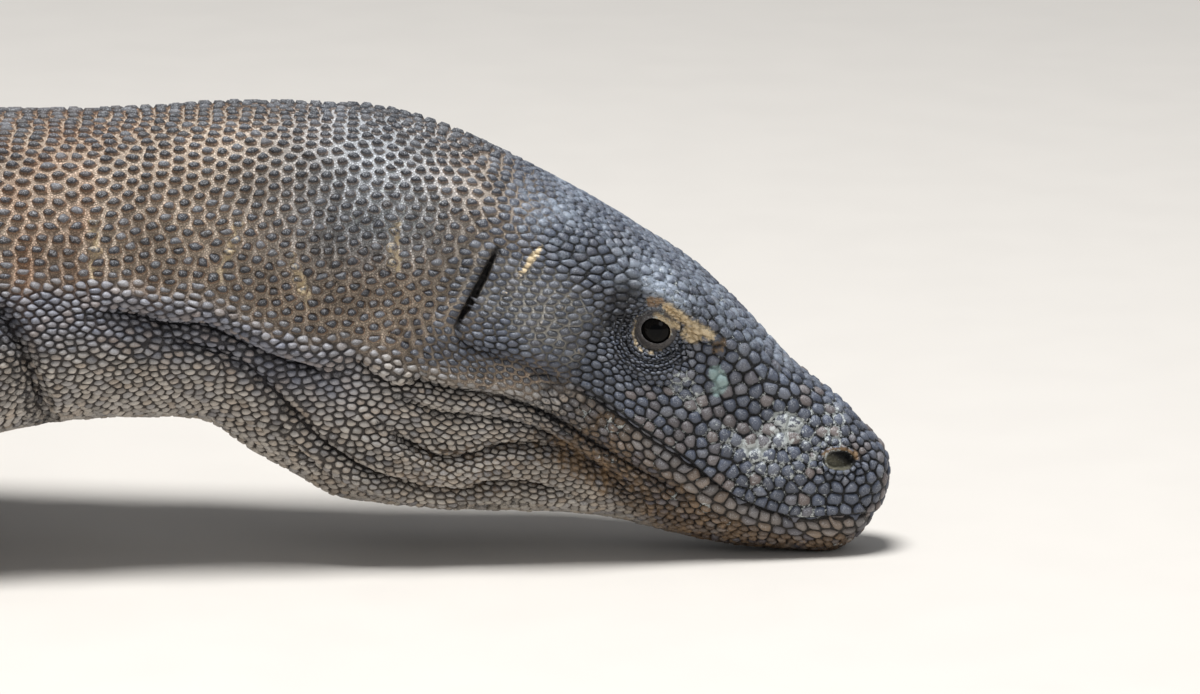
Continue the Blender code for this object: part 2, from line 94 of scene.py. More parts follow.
# %% Soft steps, curves and noise
def ramp(values, start, end):
    """0 before start, 1 after end and smooth between. The two may be in either order."""
    t = np.clip((values - start) / (end - start), 0, 1)
    return t * t * (3 - 2 * t)


def bump(values, centre, width):
    return np.exp(-(((values - centre) / width) ** 2))


def curve_through(knots, count=28):
    """Evenly numbered points on a smooth curve through the knots (Catmull and Rom)."""
    knots = np.array(knots, float)
    ends = np.concatenate([[2 * knots[0] - knots[1]], knots, [2 * knots[-1] - knots[-2]]])
    found = []
    for where in np.linspace(0, len(knots) - 1 - 1e-9, count):
        i, t = int(where), where % 1
        a, b, c, d = ends[i:i + 4]
        found.append(0.5 * (2 * b + (c - a) * t + (2 * a - 5 * b + 4 * c - d) * t**2
                            + (3 * b - a - 3 * c + d) * t**3))
    return np.array(found)


def slow_noise(points, size, seed=0.0):
    """Smooth noise from -1 to 1 whose lumps are about this size."""
    shift = Vector((seed, 3.1 * seed, -1.7 * seed))
    return np.array([noise.noise(Vector(p) / size + shift) for p in points])


print("ramp", ramp(np.linspace(0, 1, 5), 0, 1).round(2))


# %% Distance to a curve
def from_line(x, y, knots):
    """Signed distance to a curve, positive above or behind it, and the share of the way along."""
    line = curve_through(knots)
    steps = np.diff(line, axis=0)
    lengths = np.hypot(*steps.T)
    begun = np.concatenate([[0], np.cumsum(lengths)])
    nearest, signed, share = np.full(len(x), 1e9), np.zeros(len(x)), np.zeros(len(x))
    run, climb = line[-1] - line[0]
    upward = 1 if abs(run) < abs(climb) else np.sign(run)
    for (ax, ay), (dx, dy), length, start in zip(line, steps, lengths, begun):
        t = np.clip(((x - ax) * dx + (y - ay) * dy) / length**2, 0, 1)
        px, py = x - ax - t * dx, y - ay - t * dy
        away = np.hypot(px, py)
        closer = away < nearest
        nearest = np.where(closer, away, nearest)
        signed = np.where(closer, upward * np.sign(dx * py - dy * px) * away, signed)
        share = np.where(closer, (start + t * length) / begun[-1], share)
    return signed, share


def groove_along(x, y, knots, width, aside=0.0):
    """1 along a curve, or beside it, and 0 away from it."""
    return bump(from_line(x, y, knots)[0], aside, width)


print("2 mm over a level line:", from_line(np.array([0.5]), np.array([2 * MM]), [(0, 0), (1, 0)])[0])

# %% [markdown]
# ## One skin over all the flesh
#
# The nodes of flesh are swollen until they overlap, made one mesh and remeshed, which leaves no
# seam. Smoothing takes the facets off. The neck and head are then split finer, and the rest of the
# body is thinned out, because its scales hide it.

# %% Short words for meshes
EYE_NODES = [name for name in NODES if name.startswith("eye")]
CLAW_NODES = [name for name in NODES if "claw" in name]
FLESH = [name for name in NODES if name not in EYE_NODES + CLAW_NODES]
FOOT_NODES = [name for name in NODES if name.endswith("foot")]


def linked(name, data):
    made = bpy.data.objects.new(name, data)
    bpy.context.scene.collection.objects.link(made)
    return made


@contextmanager
def edited(mesh):
    """The mesh as a bmesh, which goes back into it at the end."""
    shape = bmesh.new()
    shape.from_mesh(mesh)
    yield shape
    shape.to_mesh(mesh)
    shape.free()


def welded(shape):
    """A CAD mesh is loose triangles. This joins them."""
    bmesh.ops.remove_doubles(shape, verts=shape.verts, dist=1e-6)


def evaluated(made):
    """The object's mesh with its modifiers applied. The object itself is removed."""
    bpy.context.view_layer.update()
    mesh = bpy.data.meshes.new_from_object(
        made.evaluated_get(bpy.context.evaluated_depsgraph_get()))
    bpy.data.objects.remove(made)
    return mesh


def get_points(mesh, what="co"):
    flat = np.empty(len(mesh.vertices) * 3, np.float32)
    mesh.vertices.foreach_get(what, flat)
    return flat.reshape(-1, 3).astype(float)


def set_points(mesh, points):
    mesh.vertices.foreach_set("co", np.asarray(points, np.float32).ravel())
    mesh.update()


def get_edges(mesh):
    flat = np.empty(len(mesh.edges) * 2, np.int32)
    mesh.edges.foreach_get("vertices", flat)
    return flat.reshape(-1, 2)


def averaged(values, edges):
    """The mean of each vertex's neighbours."""
    count = np.bincount(edges.ravel(), minlength=len(values))
    total = [np.bincount(edges[:, 0], column[edges[:, 1]], len(values))
             + np.bincount(edges[:, 1], column[edges[:, 0]], len(values))
             for column in values.reshape(len(values), -1).T]
    return (np.array(total) / np.maximum(count, 1)).T.reshape(values.shape)


def smooth_keeping_volume(mesh, rounds, weight):
    """Smoothing that shrinks and swells in turn (Taubin), so that the body keeps its size."""
    points, edges = get_points(mesh), get_edges(mesh)
    for step in [0.5, -0.52] * rounds:
        points += (weight * step)[:, None] * (averaged(points, edges) - points)
    set_points(mesh, points)


print("flesh", len(FLESH), "nodes, eyes", len(EYE_NODES), "and claws", len(CLAW_NODES))

# %% The union of the flesh
OVERLAP = 0.6 * MM
VOXEL = 6.3 * MM
FOOT_FREEDOM = 0.45  # the feet are small, so they are smoothed less


def swollen_union(names, by):
    whole = bmesh.new()
    for name in names:
        part = NODES[name].data.copy()
        with edited(part) as shape:
            welded(shape)
            shape.normal_update()
            for vert, normal in [(v, v.normal.copy()) for v in shape.verts]:
                vert.co += normal * by
        whole.from_mesh(part)
        bpy.data.meshes.remove(part)
    mesh = bpy.data.meshes.new("flesh")
    whole.to_mesh(mesh)
    whole.free()
    return mesh


def in_feet(points, margin):
    inside = np.zeros(len(points), bool)
    for name in FOOT_NODES:
        low, high = (np.array(corner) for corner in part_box(name))
        inside |= ((points > low - margin) & (points < high + margin)).all(axis=1)
    return inside


body = linked("flesh", swollen_union(FLESH + EYE_NODES, OVERLAP))
remesh = body.modifiers.new("remesh", "REMESH")
remesh.mode, remesh.voxel_size = "VOXEL", VOXEL
skin_mesh = evaluated(body)
smooth_keeping_volume(skin_mesh, 14, np.where(in_feet(get_points(skin_mesh), 4 * MM), FOOT_FREEDOM, 1.0))
print("skin", len(skin_mesh.polygons), "faces")

# %% [markdown]
# ## Finer where the eye looks
#
# Quads are split in four wherever a test on their middles says so: once on the neck, twice on the
# head, and three times round the eyes, nostrils, lips and ears.

# %% Where the face's features lie
EYE_U, EYE_N, EYE_OUT = (float(v[0]) for v in head_view(
    np.array([(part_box("eye_left")[0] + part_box("eye_left")[1]) / 2])))
NOSTRIL_U, NOSTRIL_N = 0.0292, 0.0223
EAR_LINE = [(0.2072, 0.0335), (0.206, 0.015), (0.2062, -0.003)]
MOUTH_LINE = [(-0.012, 0.01), (0.003, 0.0062), (0.018, -0.0012), (0.034, -0.01),
              (0.056, -0.0136), (0.072, -0.0127), (0.089, -0.0088), (0.106, -0.0068),
              (0.123, -0.004), (0.139, -0.0021), (0.154, -0.0024)]
CHEEK_CREASE = [(0.15, -0.0022), (0.169, -0.0023), (0.187, -0.0062), (0.2, -0.008),
                (0.2062, -0.003)]
MAIN_FOLD = [(0.335, 0.1215), (0.3191, 0.1202), (0.3034, 0.115), (0.2873, 0.1137),
             (0.2747, 0.1075), (0.2624, 0.1005), (0.2501, 0.0958), (0.2373, 0.0925),
             (0.2285, 0.093)]
DIAGONAL_FOLD = [(0.308, 0.108), (0.2747, 0.096), (0.2575, 0.08), (0.2459, 0.066),
                 (0.2357, 0.056), (0.2216, 0.0465), (0.2045, 0.0395), (0.1874, 0.035),
                 (0.1756, 0.0352), (0.1644, 0.0385), (0.1467, 0.0365), (0.125, 0.03)]
LOW_FOLD = [(0.256, 0.064), (0.238, 0.044), (0.218, 0.033), (0.196, 0.0265),
            (0.174, 0.0265), (0.152, 0.029)]
THROAT_FOLD = [(0.214, 0.069), (0.1987, 0.0555), (0.1858, 0.0495), (0.1755, 0.0502),
               (0.1642, 0.0537), (0.1526, 0.0553), (0.1375, 0.0525), (0.1237, 0.044),
               (0.112, 0.0351), (0.103, 0.025)]
# The rolls between cheek and throat, each as a groove below it
JAW_FOLDS = [[(0.206, 0.09), (0.185, 0.083), (0.162, 0.079), (0.14, 0.07),
              (0.12, 0.056), (0.1, 0.042), (0.08, 0.03)],
             [(0.208, 0.08), (0.188, 0.072), (0.166, 0.069), (0.147, 0.064),
              (0.129, 0.052), (0.112, 0.04), (0.096, 0.03)]]
SMALL_FOLD = [(0.2235, 0.1), (0.218, 0.0925), (0.208, 0.085), (0.199, 0.0845),
              (0.194, 0.091)]
THIN_CREASE = [(0.279, 0.112), (0.28, 0.096), (0.2815, 0.08)]
SHOULDER_FOLD = [(0.385, 0.133), (0.3738, 0.1232), (0.3655, 0.1095), (0.359, 0.088),
                 (0.3545, 0.06)]
FOLD_LINES = (MAIN_FOLD, DIAGONAL_FOLD, LOW_FOLD, THROAT_FOLD, *JAW_FOLDS, SMALL_FOLD, SHOULDER_FOLD)
HEAD_LENGTH = 0.235
NECK_LENGTH = 0.46
print("eye at", round(EYE_U, 4), round(EYE_N, 4), "and", len(FOLD_LINES), "folds")


# %% Splitting faces
def refined(mesh, wanted):
    """Each face whose middle is wanted is split in four."""
    with edited(mesh) as shape:
        chosen = wanted(np.array([f.calc_center_median() for f in shape.faces]))
        edges = dict.fromkeys(e for face, keep in zip(shape.faces, chosen) if keep for e in face.edges)
        bmesh.ops.subdivide_edges(shape, edges=list(edges), cuts=1, use_grid_fill=True)


def near_details(points):
    u, n, out = head_view(points)
    on_side = np.abs(out) > 12 * MM
    eye = np.hypot(u - EYE_U, n - EYE_N) < 19 * MM
    nostril = np.hypot(u - NOSTRIL_U, n - NOSTRIL_N) < 11 * MM
    ear = np.abs(from_line(u, n, EAR_LINE)[0]) < 5 * MM
    lips = np.abs(from_line(u, n, MOUTH_LINE)[0]) < 3.5 * MM
    return ((eye | nostril | ear) & on_side) | lips


def near_folds(points):
    """The head, and a strip along every fold of the neck and throat."""
    back, level, out = side_view(points)
    near = np.min([np.abs(from_line(back, level, line)[0]) for line in FOLD_LINES], axis=0)
    return (head_view(points)[0] < HEAD_LENGTH) | ((near < 7 * MM) & (np.abs(out) > 20 * MM))


refined(skin_mesh, lambda points: side_view(points)[0] < NECK_LENGTH)
refined(skin_mesh, near_folds)
smooth_keeping_volume(skin_mesh, 4, ramp(side_view(get_points(skin_mesh))[0], 0.5, 0.4))
refined(skin_mesh, near_details)
smooth_keeping_volume(skin_mesh, 2, ramp(head_view(get_points(skin_mesh))[0], 0.26, 0.24))
print("refined to", len(skin_mesh.polygons), "faces")

# %% Thinning what the scales hide
THINNED = 0.78  # the share of the hidden faces that goes
points = get_points(skin_mesh)
hidden = (ramp(side_view(points)[0], 0.47, 0.5) > 0.5) & ~in_feet(points, 10 * MM)
body = linked("thinning", skin_mesh)
body.vertex_groups.new(name="thin").add(np.flatnonzero(hidden).tolist(), 1.0, "REPLACE")
thin = body.modifiers.new("thin", "DECIMATE")
thin.vertex_group, thin.ratio = "thin", 1 - THINNED * hidden.mean()
skin_mesh = evaluated(body)


def count_triangles(mesh):
    return sum(len(p.vertices) - 2 for p in mesh.polygons)


print("thinned skin", count_triangles(skin_mesh), "triangles")

# %% [markdown]
# ## What grows where
#
# Each point of the skin belongs to the CAD node that is nearest, and so to a zone. `scale_size`
# gives the spacing and height of the scales there. The skin is then drawn in by that height, so
# that the tops of the scales, not the skin, lie at the surface of the solids.

# %% Zones of the body
ZONES = ("head", "lower_jaw", "neck", "trunk", "tail", "upper", "lower", "foot")
ZONE_SPACING = np.array([4.6, 4.2, 6.3, 8.2, 7.8, 7.2, 6.2, 4.6]) * MM
ZONE_HEIGHT = np.array([0.95, 0.95, 2.3, 2.3, 2.0, 1.7, 1.4, 1.0]) * MM


def zone_of(points):
    """The index in ZONES of each point's nearest flesh node."""
    corners, faces, owner = [], [], []
    for name in FLESH:
        mesh = NODES[name].data
        first = len(corners)
        corners += [v.co.copy() for v in mesh.vertices]
        faces += [[first + i for i in p.vertices] for p in mesh.polygons]
        zone = next(i for i, word in enumerate(ZONES) if name.startswith(word) or name.endswith(word))
        owner += [zone] * len(mesh.polygons)
    tree = BVHTree.FromPolygons(corners, faces)
    return np.array([owner[tree.find_nearest(Vector(p))[2]] for p in points])


def among(zones, *names):
    return np.isin(zones, [ZONES.index(name) for name in names])


skin_points = get_points(skin_mesh)
skin_zones = zone_of(skin_points)
print("points in each zone", dict(zip(ZONES, np.bincount(skin_zones).tolist())))

# %% The nostril's outline and the neck's main fold
NOSTRIL_LONG, NOSTRIL_TALL, NOSTRIL_TILT = 6.1 * MM, 3.9 * MM, math.radians(20)


def nostril_shape(u, n):
    """1 on the nostril's edge, less inside and more outside. The edge is a tilted, squarish oval."""
    back, up = u - NOSTRIL_U, n - NOSTRIL_N
    p = np.abs(back * math.cos(NOSTRIL_TILT) - up * math.sin(NOSTRIL_TILT)) / NOSTRIL_LONG
    q = np.abs(back * math.sin(NOSTRIL_TILT) + up * math.cos(NOSTRIL_TILT)) / NOSTRIL_TALL
    return (p**2.5 + q**2.5) ** 0.4


def fold_height(back):
    """Height over the floor of the main fold of the neck, carried on to both ends."""
    line = curve_through(MAIN_FOLD)[::-1]
    level = np.interp(back, line[:, 0], line[:, 1])
    return level - np.clip(0.2285 - back, 0, 0.06) * 0.35


print("main fold at 0.3 m back is", fold_height(np.array([0.3])).round(4), "high")

# %% Size of the scales
EYE_RINGS = np.array([10.0, 12.5, 15.5, 24.0]) * MM
EYE_RING_SPACING = np.array([1.9, 2.3, 2.8, 6.0]) * MM
FINE_SPACING = 3.4 * MM  # on the throat and the sides of the jaw


def face_spacing(u, n, from_eye, from_nostril):
    """Small round the eye and nostril, larger on the snout, and smallest on throat and jaw."""
    spacing = np.interp(u, [0.03, 0.09, 0.13, 0.18], [0.0062, 0.006, 0.0045, 0.004])
    spacing = spacing + 0.0007 * ramp(n, 0.03, 0.055) * ramp(u, 0.1, 0.15)
    spacing = np.minimum(spacing, np.interp(from_eye, EYE_RINGS, EYE_RING_SPACING))
    spacing = np.minimum(spacing, np.interp(from_nostril, [1.3, 2.0, 3.2], [0.0025, 0.0036, 0.006]))
    nape = ramp(u, 0.19, 0.228) * ramp(n, 0.0, 0.03)
    spacing = spacing * (1 - nape) + 0.0056 * nape
    throat = ramp(n, -0.018, -0.034) * ramp(u, 0.06, 0.1)
    mouth = from_line(u, n, MOUTH_LINE)[0]
    side_of_jaw = ramp(mouth, -0.006, -0.012) * ramp(mouth, -0.05, -0.04)
    spacing = spacing * (1 - side_of_jaw) + FINE_SPACING * side_of_jaw
    return spacing * (1 - throat) + FINE_SPACING * throat, nape, throat


def scale_size(points, zones):
    """(spacing, height) of the scales at each point."""
    back, level, out = side_view(points)
    u, n, _ = head_view(points)
    spacing, height = ZONE_SPACING[zones], ZONE_HEIGHT[zones]
    face, neck, tail = (among(zones, *names) for names in (("head", "lower_jaw"), ("neck",), ("tail",)))
    trunk_or_limb = zones >= ZONES.index("trunk")

    from_eye = np.where(np.abs(out) > 0.015, np.hypot(u - EYE_U, n - EYE_N), 1.0)
    from_eye = from_eye * (1 - 0.28 * ramp(n, EYE_N, EYE_N - 0.008))  # small scales reach further below
    from_nostril = np.where(np.abs(out) > 0.008, nostril_shape(u, n), 9.0)
    on_face, nape, throat = face_spacing(u, n, from_eye, from_nostril)
    spacing = np.where(face, on_face, spacing)
    rise = 0.0009 + 0.0011 * nape + 0.0002 * throat + 0.0004 * ramp(u, 0.12, 0.08)
    height = np.where(face, rise * (1 - 0.5 * ramp(from_eye, 0.02, 0.01)), height)

    low_neck = ramp(level - fold_height(back), 0.017, 0.007)
    of_beads = 0.0057 + 0.0008 * ramp(back, 0.24, 0.36)
    spacing = np.where(neck, of_beads * (1 - low_neck) + 0.0039 * low_neck, spacing)
    height = np.where(neck, 0.0024 * (1 - low_neck) + 0.0013 * low_neck, height)

    spacing = spacing + 0.001 * ramp(level, 0.05, 0.02) * among(zones, "trunk")
    flat_below = 0.65 * ramp(level, 0.055, 0.02) * among(zones, "trunk", "tail")
    height = np.where(trunk_or_limb, height * (1 - flat_below), height)
    tail_end = ramp(points[:, 0], -0.8, -1.7) * tail
    return spacing * (1 - 0.3 * tail_end), height * (1 - 0.35 * tail_end)


def spread(values, edges, rounds):
    for _ in range(rounds):
        values = 0.5 * values + 0.5 * averaged(values, edges)
    return values


edges = get_edges(skin_mesh)
spacing, height = (spread(values, edges, 6) for values in scale_size(skin_points, skin_zones))
# Most of the swelling that joined the nodes goes again too
skin_points -= get_points(skin_mesh, "normal") * (height + OVERLAP * 0.8)[:, None]
set_points(skin_mesh, skin_points)
print("spacing mm", (spacing.min() * 1000).round(1), "to", (spacing.max() * 1000).round(1))


# %% Direction of the rows
def scale_rows(points, zones):
    """How many times longer than tall the scales are, and how steeply their rows climb tailward."""
    back, level, _ = side_view(points)
    u, n, _ = head_view(points)
    face, neck = among(zones, "head", "lower_jaw"), among(zones, "neck")
    below = ramp(from_line(u, n, MOUTH_LINE)[0], 0.001, -0.003)
    temple = ramp(u, 0.125, 0.155) * ramp(n, -0.01, 0.004) * (1 - below)
    behind = ramp(u, 0.085, 0.125) * ramp(n, 0.06, 0.04)
    of_face = 1.05 + behind * (0.45 + 0.3 * temple) * (1 - below) + 0.6 * below
    throat = ramp(n, -0.018, -0.034)
    low_neck = ramp(level - fold_height(back), 0.02, 0.004)
    of_neck = 1.2 + 0.15 * ramp(back, 0.26, 0.36) + 0.35 * low_neck
    stretch = np.where(face, of_face, np.where(neck, of_neck, 1.1))
    stretch[zones > ZONES.index("tail")] = 1.0
    slope = np.where(face, HEAD_SLOPE * (1 - 0.8 * temple) * (1 - 0.6 * throat), 0.0)
    return stretch, slope + 0.2 * slow_noise(points, 0.045, 9.0) * (face | neck)


print("scales are up to", scale_rows(skin_points, skin_zones)[0].max().round(2), "times longer than tall")

# %% [markdown]
# ## Sculpting
#
# Every feature is a displacement along the skin's normals, written as a formula of the distance
# to a curve or a centre in one of the two views. `fold` is the main tool: a groove, with a roll of
# skin on one side and a lower level on the other.

# %% A fold along a curve
def fold(x, y, knots, depth, width, roll, step, roll_width, fade=0.15):
    """Displacement of a fold; sizes in mm. The roll is above or behind it, the step below or before."""
    depth, width, roll, step, roll_width = (v * MM for v in (depth, width, roll, step, roll_width))
    away, share = from_line(x, y, knots)
    strength = ramp(share, 0, fade) * ramp(share, 1, 1 - fade)
    groove = -depth * bump(away, 0, width)
    swell = roll * bump(away, 1.5 * roll_width, roll_width)
    lower = -step * ramp(away, 0.5 * width, -width) * np.exp(-np.abs(away) / (9 * width))
    return strength * (groove + swell + lower)


# Curve, depth, width, height of the roll, height of the step, width of the roll, share that fades
NECK_FOLDS = ((MAIN_FOLD, 5.5, 2.0, 3.4, 5.0, 4.4, 0.15),
              (SMALL_FOLD, 4.6, 1.7, 2.8, 2.2, 3.6, 0.15),
              (DIAGONAL_FOLD, 4.6, 1.9, -0.8, -2.6, 4.2, 0.1),
              (LOW_FOLD, 3.2, 1.7, 0.8, 0.0, 3.6, 0.15),
              (THROAT_FOLD, 5.2, 2.0, -1.6, -3.2, 3.8, 0.15),
              (JAW_FOLDS[0], 4.4, 1.8, 1.8, 1.4, 3.2, 0.15),
              (JAW_FOLDS[1], 3.8, 1.7, 1.8, 1.0, 3.2, 0.15),
              (THIN_CREASE, 2.2, 1.0, 0.0, 0.0, 2.2, 0.15),
              (SHOULDER_FOLD, 8.0, 3.8, -3.5, -1.5, 6.0, 0.25))
print("folds up to", max(row[1] for row in NECK_FOLDS), "mm deep")


# %% Neck and throat
def waves(along, length):
    return np.cos(along * 2 * math.pi / length)


def neck_and_throat(points, normals):
    back, level, out = side_view(points)
    lopsided = np.where(out > 0, 0.005, 0.0)
    x, y = back + lopsided, level + 0.6 * lopsided
    on_neck = ramp(np.abs(normals[:, 1]), 0.08, 0.4) * ramp(back, 0.43, 0.38)
    move = sum(fold(x, y, *sizes) for sizes in NECK_FOLDS)
    # Behind the ear the neck skin stands up in short upright wrinkles
    upright = bump(x, 0.198, 0.014) * bump(y, 0.105, 0.024)
    move += 0.8 * MM * waves(x - 0.35 * y, 0.006) * upright
    # Loose skin hangs in weak ripples that run along the lower neck
    slack = ramp(y - fold_height(x), -0.004, -0.016) * ramp(x, 0.4, 0.34) * ramp(x, 0.12, 0.17)
    waver = slow_noise(points, 0.03, 3.0) * 0.006
    move += 0.7 * MM * waves(y - 0.55 * x + waver, 0.0098) * slack
    return move * on_neck


def loose_skin(points, normals):
    """Broad soft lumps, everywhere, and slack folds on the flanks and round the limbs."""
    back, level, _ = side_view(points)
    upright = slow_noise(points * (1.0, 1.0, 0.35), 0.024, 4.0)
    lengthwise = slow_noise(points * (0.3, 1.0, 1.0), 0.02, 8.0)
    ripple = ramp(level, 0.15, 0.06) * (1.8 * upright + 1.6 * lengthwise)
    return slow_noise(points, 0.035) * 0.5 * MM + ramp(back, 0.36, 0.5) * MM * ripple


def sculpted(*sculptors):
    for sculpt in sculptors:
        points, normals = get_points(skin_mesh), get_points(skin_mesh, "normal")
        move = sculpt(points, normals)
        set_points(skin_mesh, points + normals * move[:, None])
        print(sculpt.__name__, "moves up to mm", np.abs(move).max().round(4) * 1000)


sculpted(neck_and_throat)

# %% Jaws, cheek and brow
# Height in mm, then u and the width along it, and n and the width along it
CHEEK_FORMS = ((2.2, 0.172, 0.026, 0.013, 0.018), (-2.2, 0.149, 0.008, 0.028, 0.022),
               (-2.2, 0.08, 0.024, 0.021, 0.009), (1.0, 0.03, 0.012, 0.018, 0.01))
LEDGE = [(0.15, 0.0423), (0.14, 0.045), (0.129, 0.0456), (0.118, 0.0433), (0.102, 0.0375)]
CANTHUS = [(0.112, 0.0478), (0.088, 0.0418), (0.062, 0.035), (0.04, 0.03)]
UNDER_EYE = [(0.143, 0.018), (0.13, 0.0135), (0.116, 0.015), (0.104, 0.0215), (0.097, 0.029)]


def jaws_and_cheek(points, normals):
    u, n, _ = head_view(points)
    on_side = ramp(np.abs(normals[:, 1]), 0.15, 0.45)
    mouth, along = from_line(u, n, MOUTH_LINE)
    opening = ramp(along, 1.0, 0.9) * (np.abs(mouth) < 0.02)
    move = sum(height * MM * bump(mouth, place * MM, width * MM) * opening
               for height, place, width in ((-2.4, 0, 0.75), (0.7, 2.4, 2.0), (-0.6, -2.6, 2.2)))
    move += on_side * fold(u, n, CHEEK_CREASE, 2.4, 1.6, 0.6, 1.4, 4.0)
    for height, back, long, up, tall in CHEEK_FORMS:
        move += on_side * height * MM * bump(u, back, long) * bump(n, up, tall)
    return move


def brow_and_eye(points, normals):
    u, n, out = head_view(points)
    back, up = u - EYE_U, n - EYE_N
    from_eye, angle = np.hypot(back, up), np.arctan2(up, back)
    below = ramp(np.sin(angle), 0.25, -0.15)
    rings = 0.85 * MM * waves(from_eye - 9.4 * MM, 3.0 * MM)
    move = rings * below * ramp(from_eye, 8.5 * MM, 10 * MM) * ramp(from_eye, 23 * MM, 17 * MM)
    move -= 1.3 * MM * bump(from_eye, 9.6 * MM, 1.8 * MM)
    move += fold(u, n, LEDGE, 1.6, 1.3, 3.6, 1.4, 3.1, 0.25)
    away, share = from_line(u, n, CANTHUS)
    move += 1.5 * MM * bump(away, 0.001, 0.004) * ramp(share, 0, 0.25) * ramp(share, 1, 0.6)
    move += fold(u, n, UNDER_EYE, 1.4, 1.2, 0.9, 0.6, 2.6, 0.3)
    return move * ramp(np.abs(out), 0.012, 0.024)


sculpted(jaws_and_cheek, brow_and_eye)


# %% Ears, nostrils and loose skin
def ears(points, normals):
    u, n, out = head_view(points)
    away, share = from_line(u, n, EAR_LINE)
    width = (0.35 + 0.95 * np.sin(np.pi * np.clip(share, 0, 1))) * MM
    inside = ramp(np.abs(out), 0.03, 0.04) * ramp(share, 0.0, 0.15) * ramp(share, 1.0, 0.8)
    move = -6.5 * MM * np.exp(-((away / width) ** 4)) * inside
    rims = 1.6 * MM * bump(away, 5.0 * MM, 2.8 * MM) + 0.8 * MM * bump(away, -4.0 * MM, 2.4 * MM)
    return move + inside * rims


def nostrils(points, normals):
    u, n, out = head_view(points)
    edge = nostril_shape(u, n)
    pit = -4.4 * MM * ramp(edge, 1.04, 0.66)
    rings = 0.45 * MM * waves(edge - 1.28, 0.52) * ramp(edge, 2.6, 1.3) * (edge > 1.28)
    return ramp(np.abs(out), 0.01, 0.016) * (pit + 0.9 * MM * bump(edge, 1.28, 0.24) + rings)


sculpted(ears, nostrils, loose_skin)

# %% [markdown]
# ## Opening the eyes
#
# The remesh closed each eye over. A small hole is cut there and pulled open to the width of the
# lids, the skin round it is bent over the eyeball as a lid, and the edge is turned in, so that the
# lids have thickness. The eyeball then sits behind them, as deep as in life.

# %% Sizes of the eye
APERTURE, SOCKET, EYE_BALL = 6.1 * MM, 13 * MM, 9.4 * MM
FIRST_HOLE = 3.0 * MM
LID = 0.8 * MM
EYE_DEEP = EYE_OUT - 0.9 * MM


def from_head_view(u, n, out):
    across, along = math.sin(HEAD_SLOPE), math.cos(HEAD_SLOPE)
    return np.stack([AXIS_START[0] - (u * along - n * across), AXIS_START[1] + out,
                     AXIS_START[2] + u * across + n * along], axis=1)


def lid_edge(angle):
    """The opening's radius: wider than tall, and flatter at the top, where the brow presses on it."""
    oval = APERTURE * (1 + 0.07 * np.cos(2 * (angle + 0.25)))
    return oval * (1 - 0.1 * bump(angle, math.radians(97), 0.75))


print("lids open to mm", (lid_edge(np.radians([0, 90])) * 1000).round(1), "from the middle")


# %% Cutting and bending the lids
def open_eye(mesh, side):
    with edited(mesh) as shape:

        def close_to_eye(within):
            u, n, out = head_view(np.array([v.co for v in shape.verts]))
            close = (np.hypot(u - EYE_U, n - EYE_N) < within) & (out * side > 15 * MM)
            return [v for v, keep in zip(shape.verts, close) if keep]

        middle = set(close_to_eye(FIRST_HOLE))
        gone = [face for face in shape.faces if middle.issuperset(face.verts)]
        bmesh.ops.delete(shape, geom=gone, context="FACES")
        near = close_to_eye(SOCKET)
        rim = list(dict.fromkeys(e for v in near for e in v.link_edges if e.is_boundary))
        u, n, out = head_view(np.array([v.co for v in near]))
        angle, radius = np.arctan2(n - EYE_N, u - EYE_U), np.hypot(u - EYE_U, n - EYE_N)
        # The rim of the hole goes out to the edge of the lids, and the skin round it follows less and less
        share = np.clip((SOCKET - radius) / (SOCKET - FIRST_HOLE), 0, 1)
        edge = lid_edge(angle)
        power = (SOCKET - FIRST_HOLE) / (SOCKET - edge)
        on_rim = np.array([v.is_boundary for v in near])
        radius = np.where(on_rim, edge, SOCKET - (SOCKET - edge) * share**power)
        # Near the rim the skin takes the ball's curve
        lid = EYE_DEEP + np.sqrt(np.maximum((EYE_BALL + LID) ** 2 - radius**2, 0))
        bent = ramp(radius, 11.0 * MM, 8.0 * MM)
        out = side * (bent * lid + (1 - bent) * np.abs(out))
        moved = from_head_view(EYE_U + radius * np.cos(angle), EYE_N + radius * np.sin(angle), out)
        for vert, place in zip(near, moved):
            vert.co = place
        # The edge turns in
        for sink in (0.5 * MM, 3.0 * MM):
            made = bmesh.ops.extrude_edge_only(shape, edges=rim)["geom"]
            for vert in (g for g in made if isinstance(g, bmesh.types.BMVert)):
                vert.co.y -= side * sink
            rim = [g for g in made if isinstance(g, bmesh.types.BMEdge) and g.is_boundary]


for side in (-1, 1):
    open_eye(skin_mesh, side)
print("eye at out", round(EYE_OUT, 4), "skin triangles", count_triangles(skin_mesh))

# %% [markdown]
# ## Reading the skin
#
# The scales need to find the skin's surface, its normal and its zone at any place. A BVH tree finds
# the nearest triangle, and the values at its corners are mixed by how near each corner is.

# %% The skin's values
def in_fixed_order(mesh):
    """A copy with its faces sorted, because bmesh may give them in another order in each run."""
    turned = []
    for corners in (list(face.vertices) for face in mesh.polygons):
        start = corners.index(min(corners))
        turned.append(corners[start:] + corners[:start])
    copy = bpy.data.meshes.new(mesh.name)
    copy.from_pydata(get_points(mesh).tolist(), [], sorted(turned))
    return copy


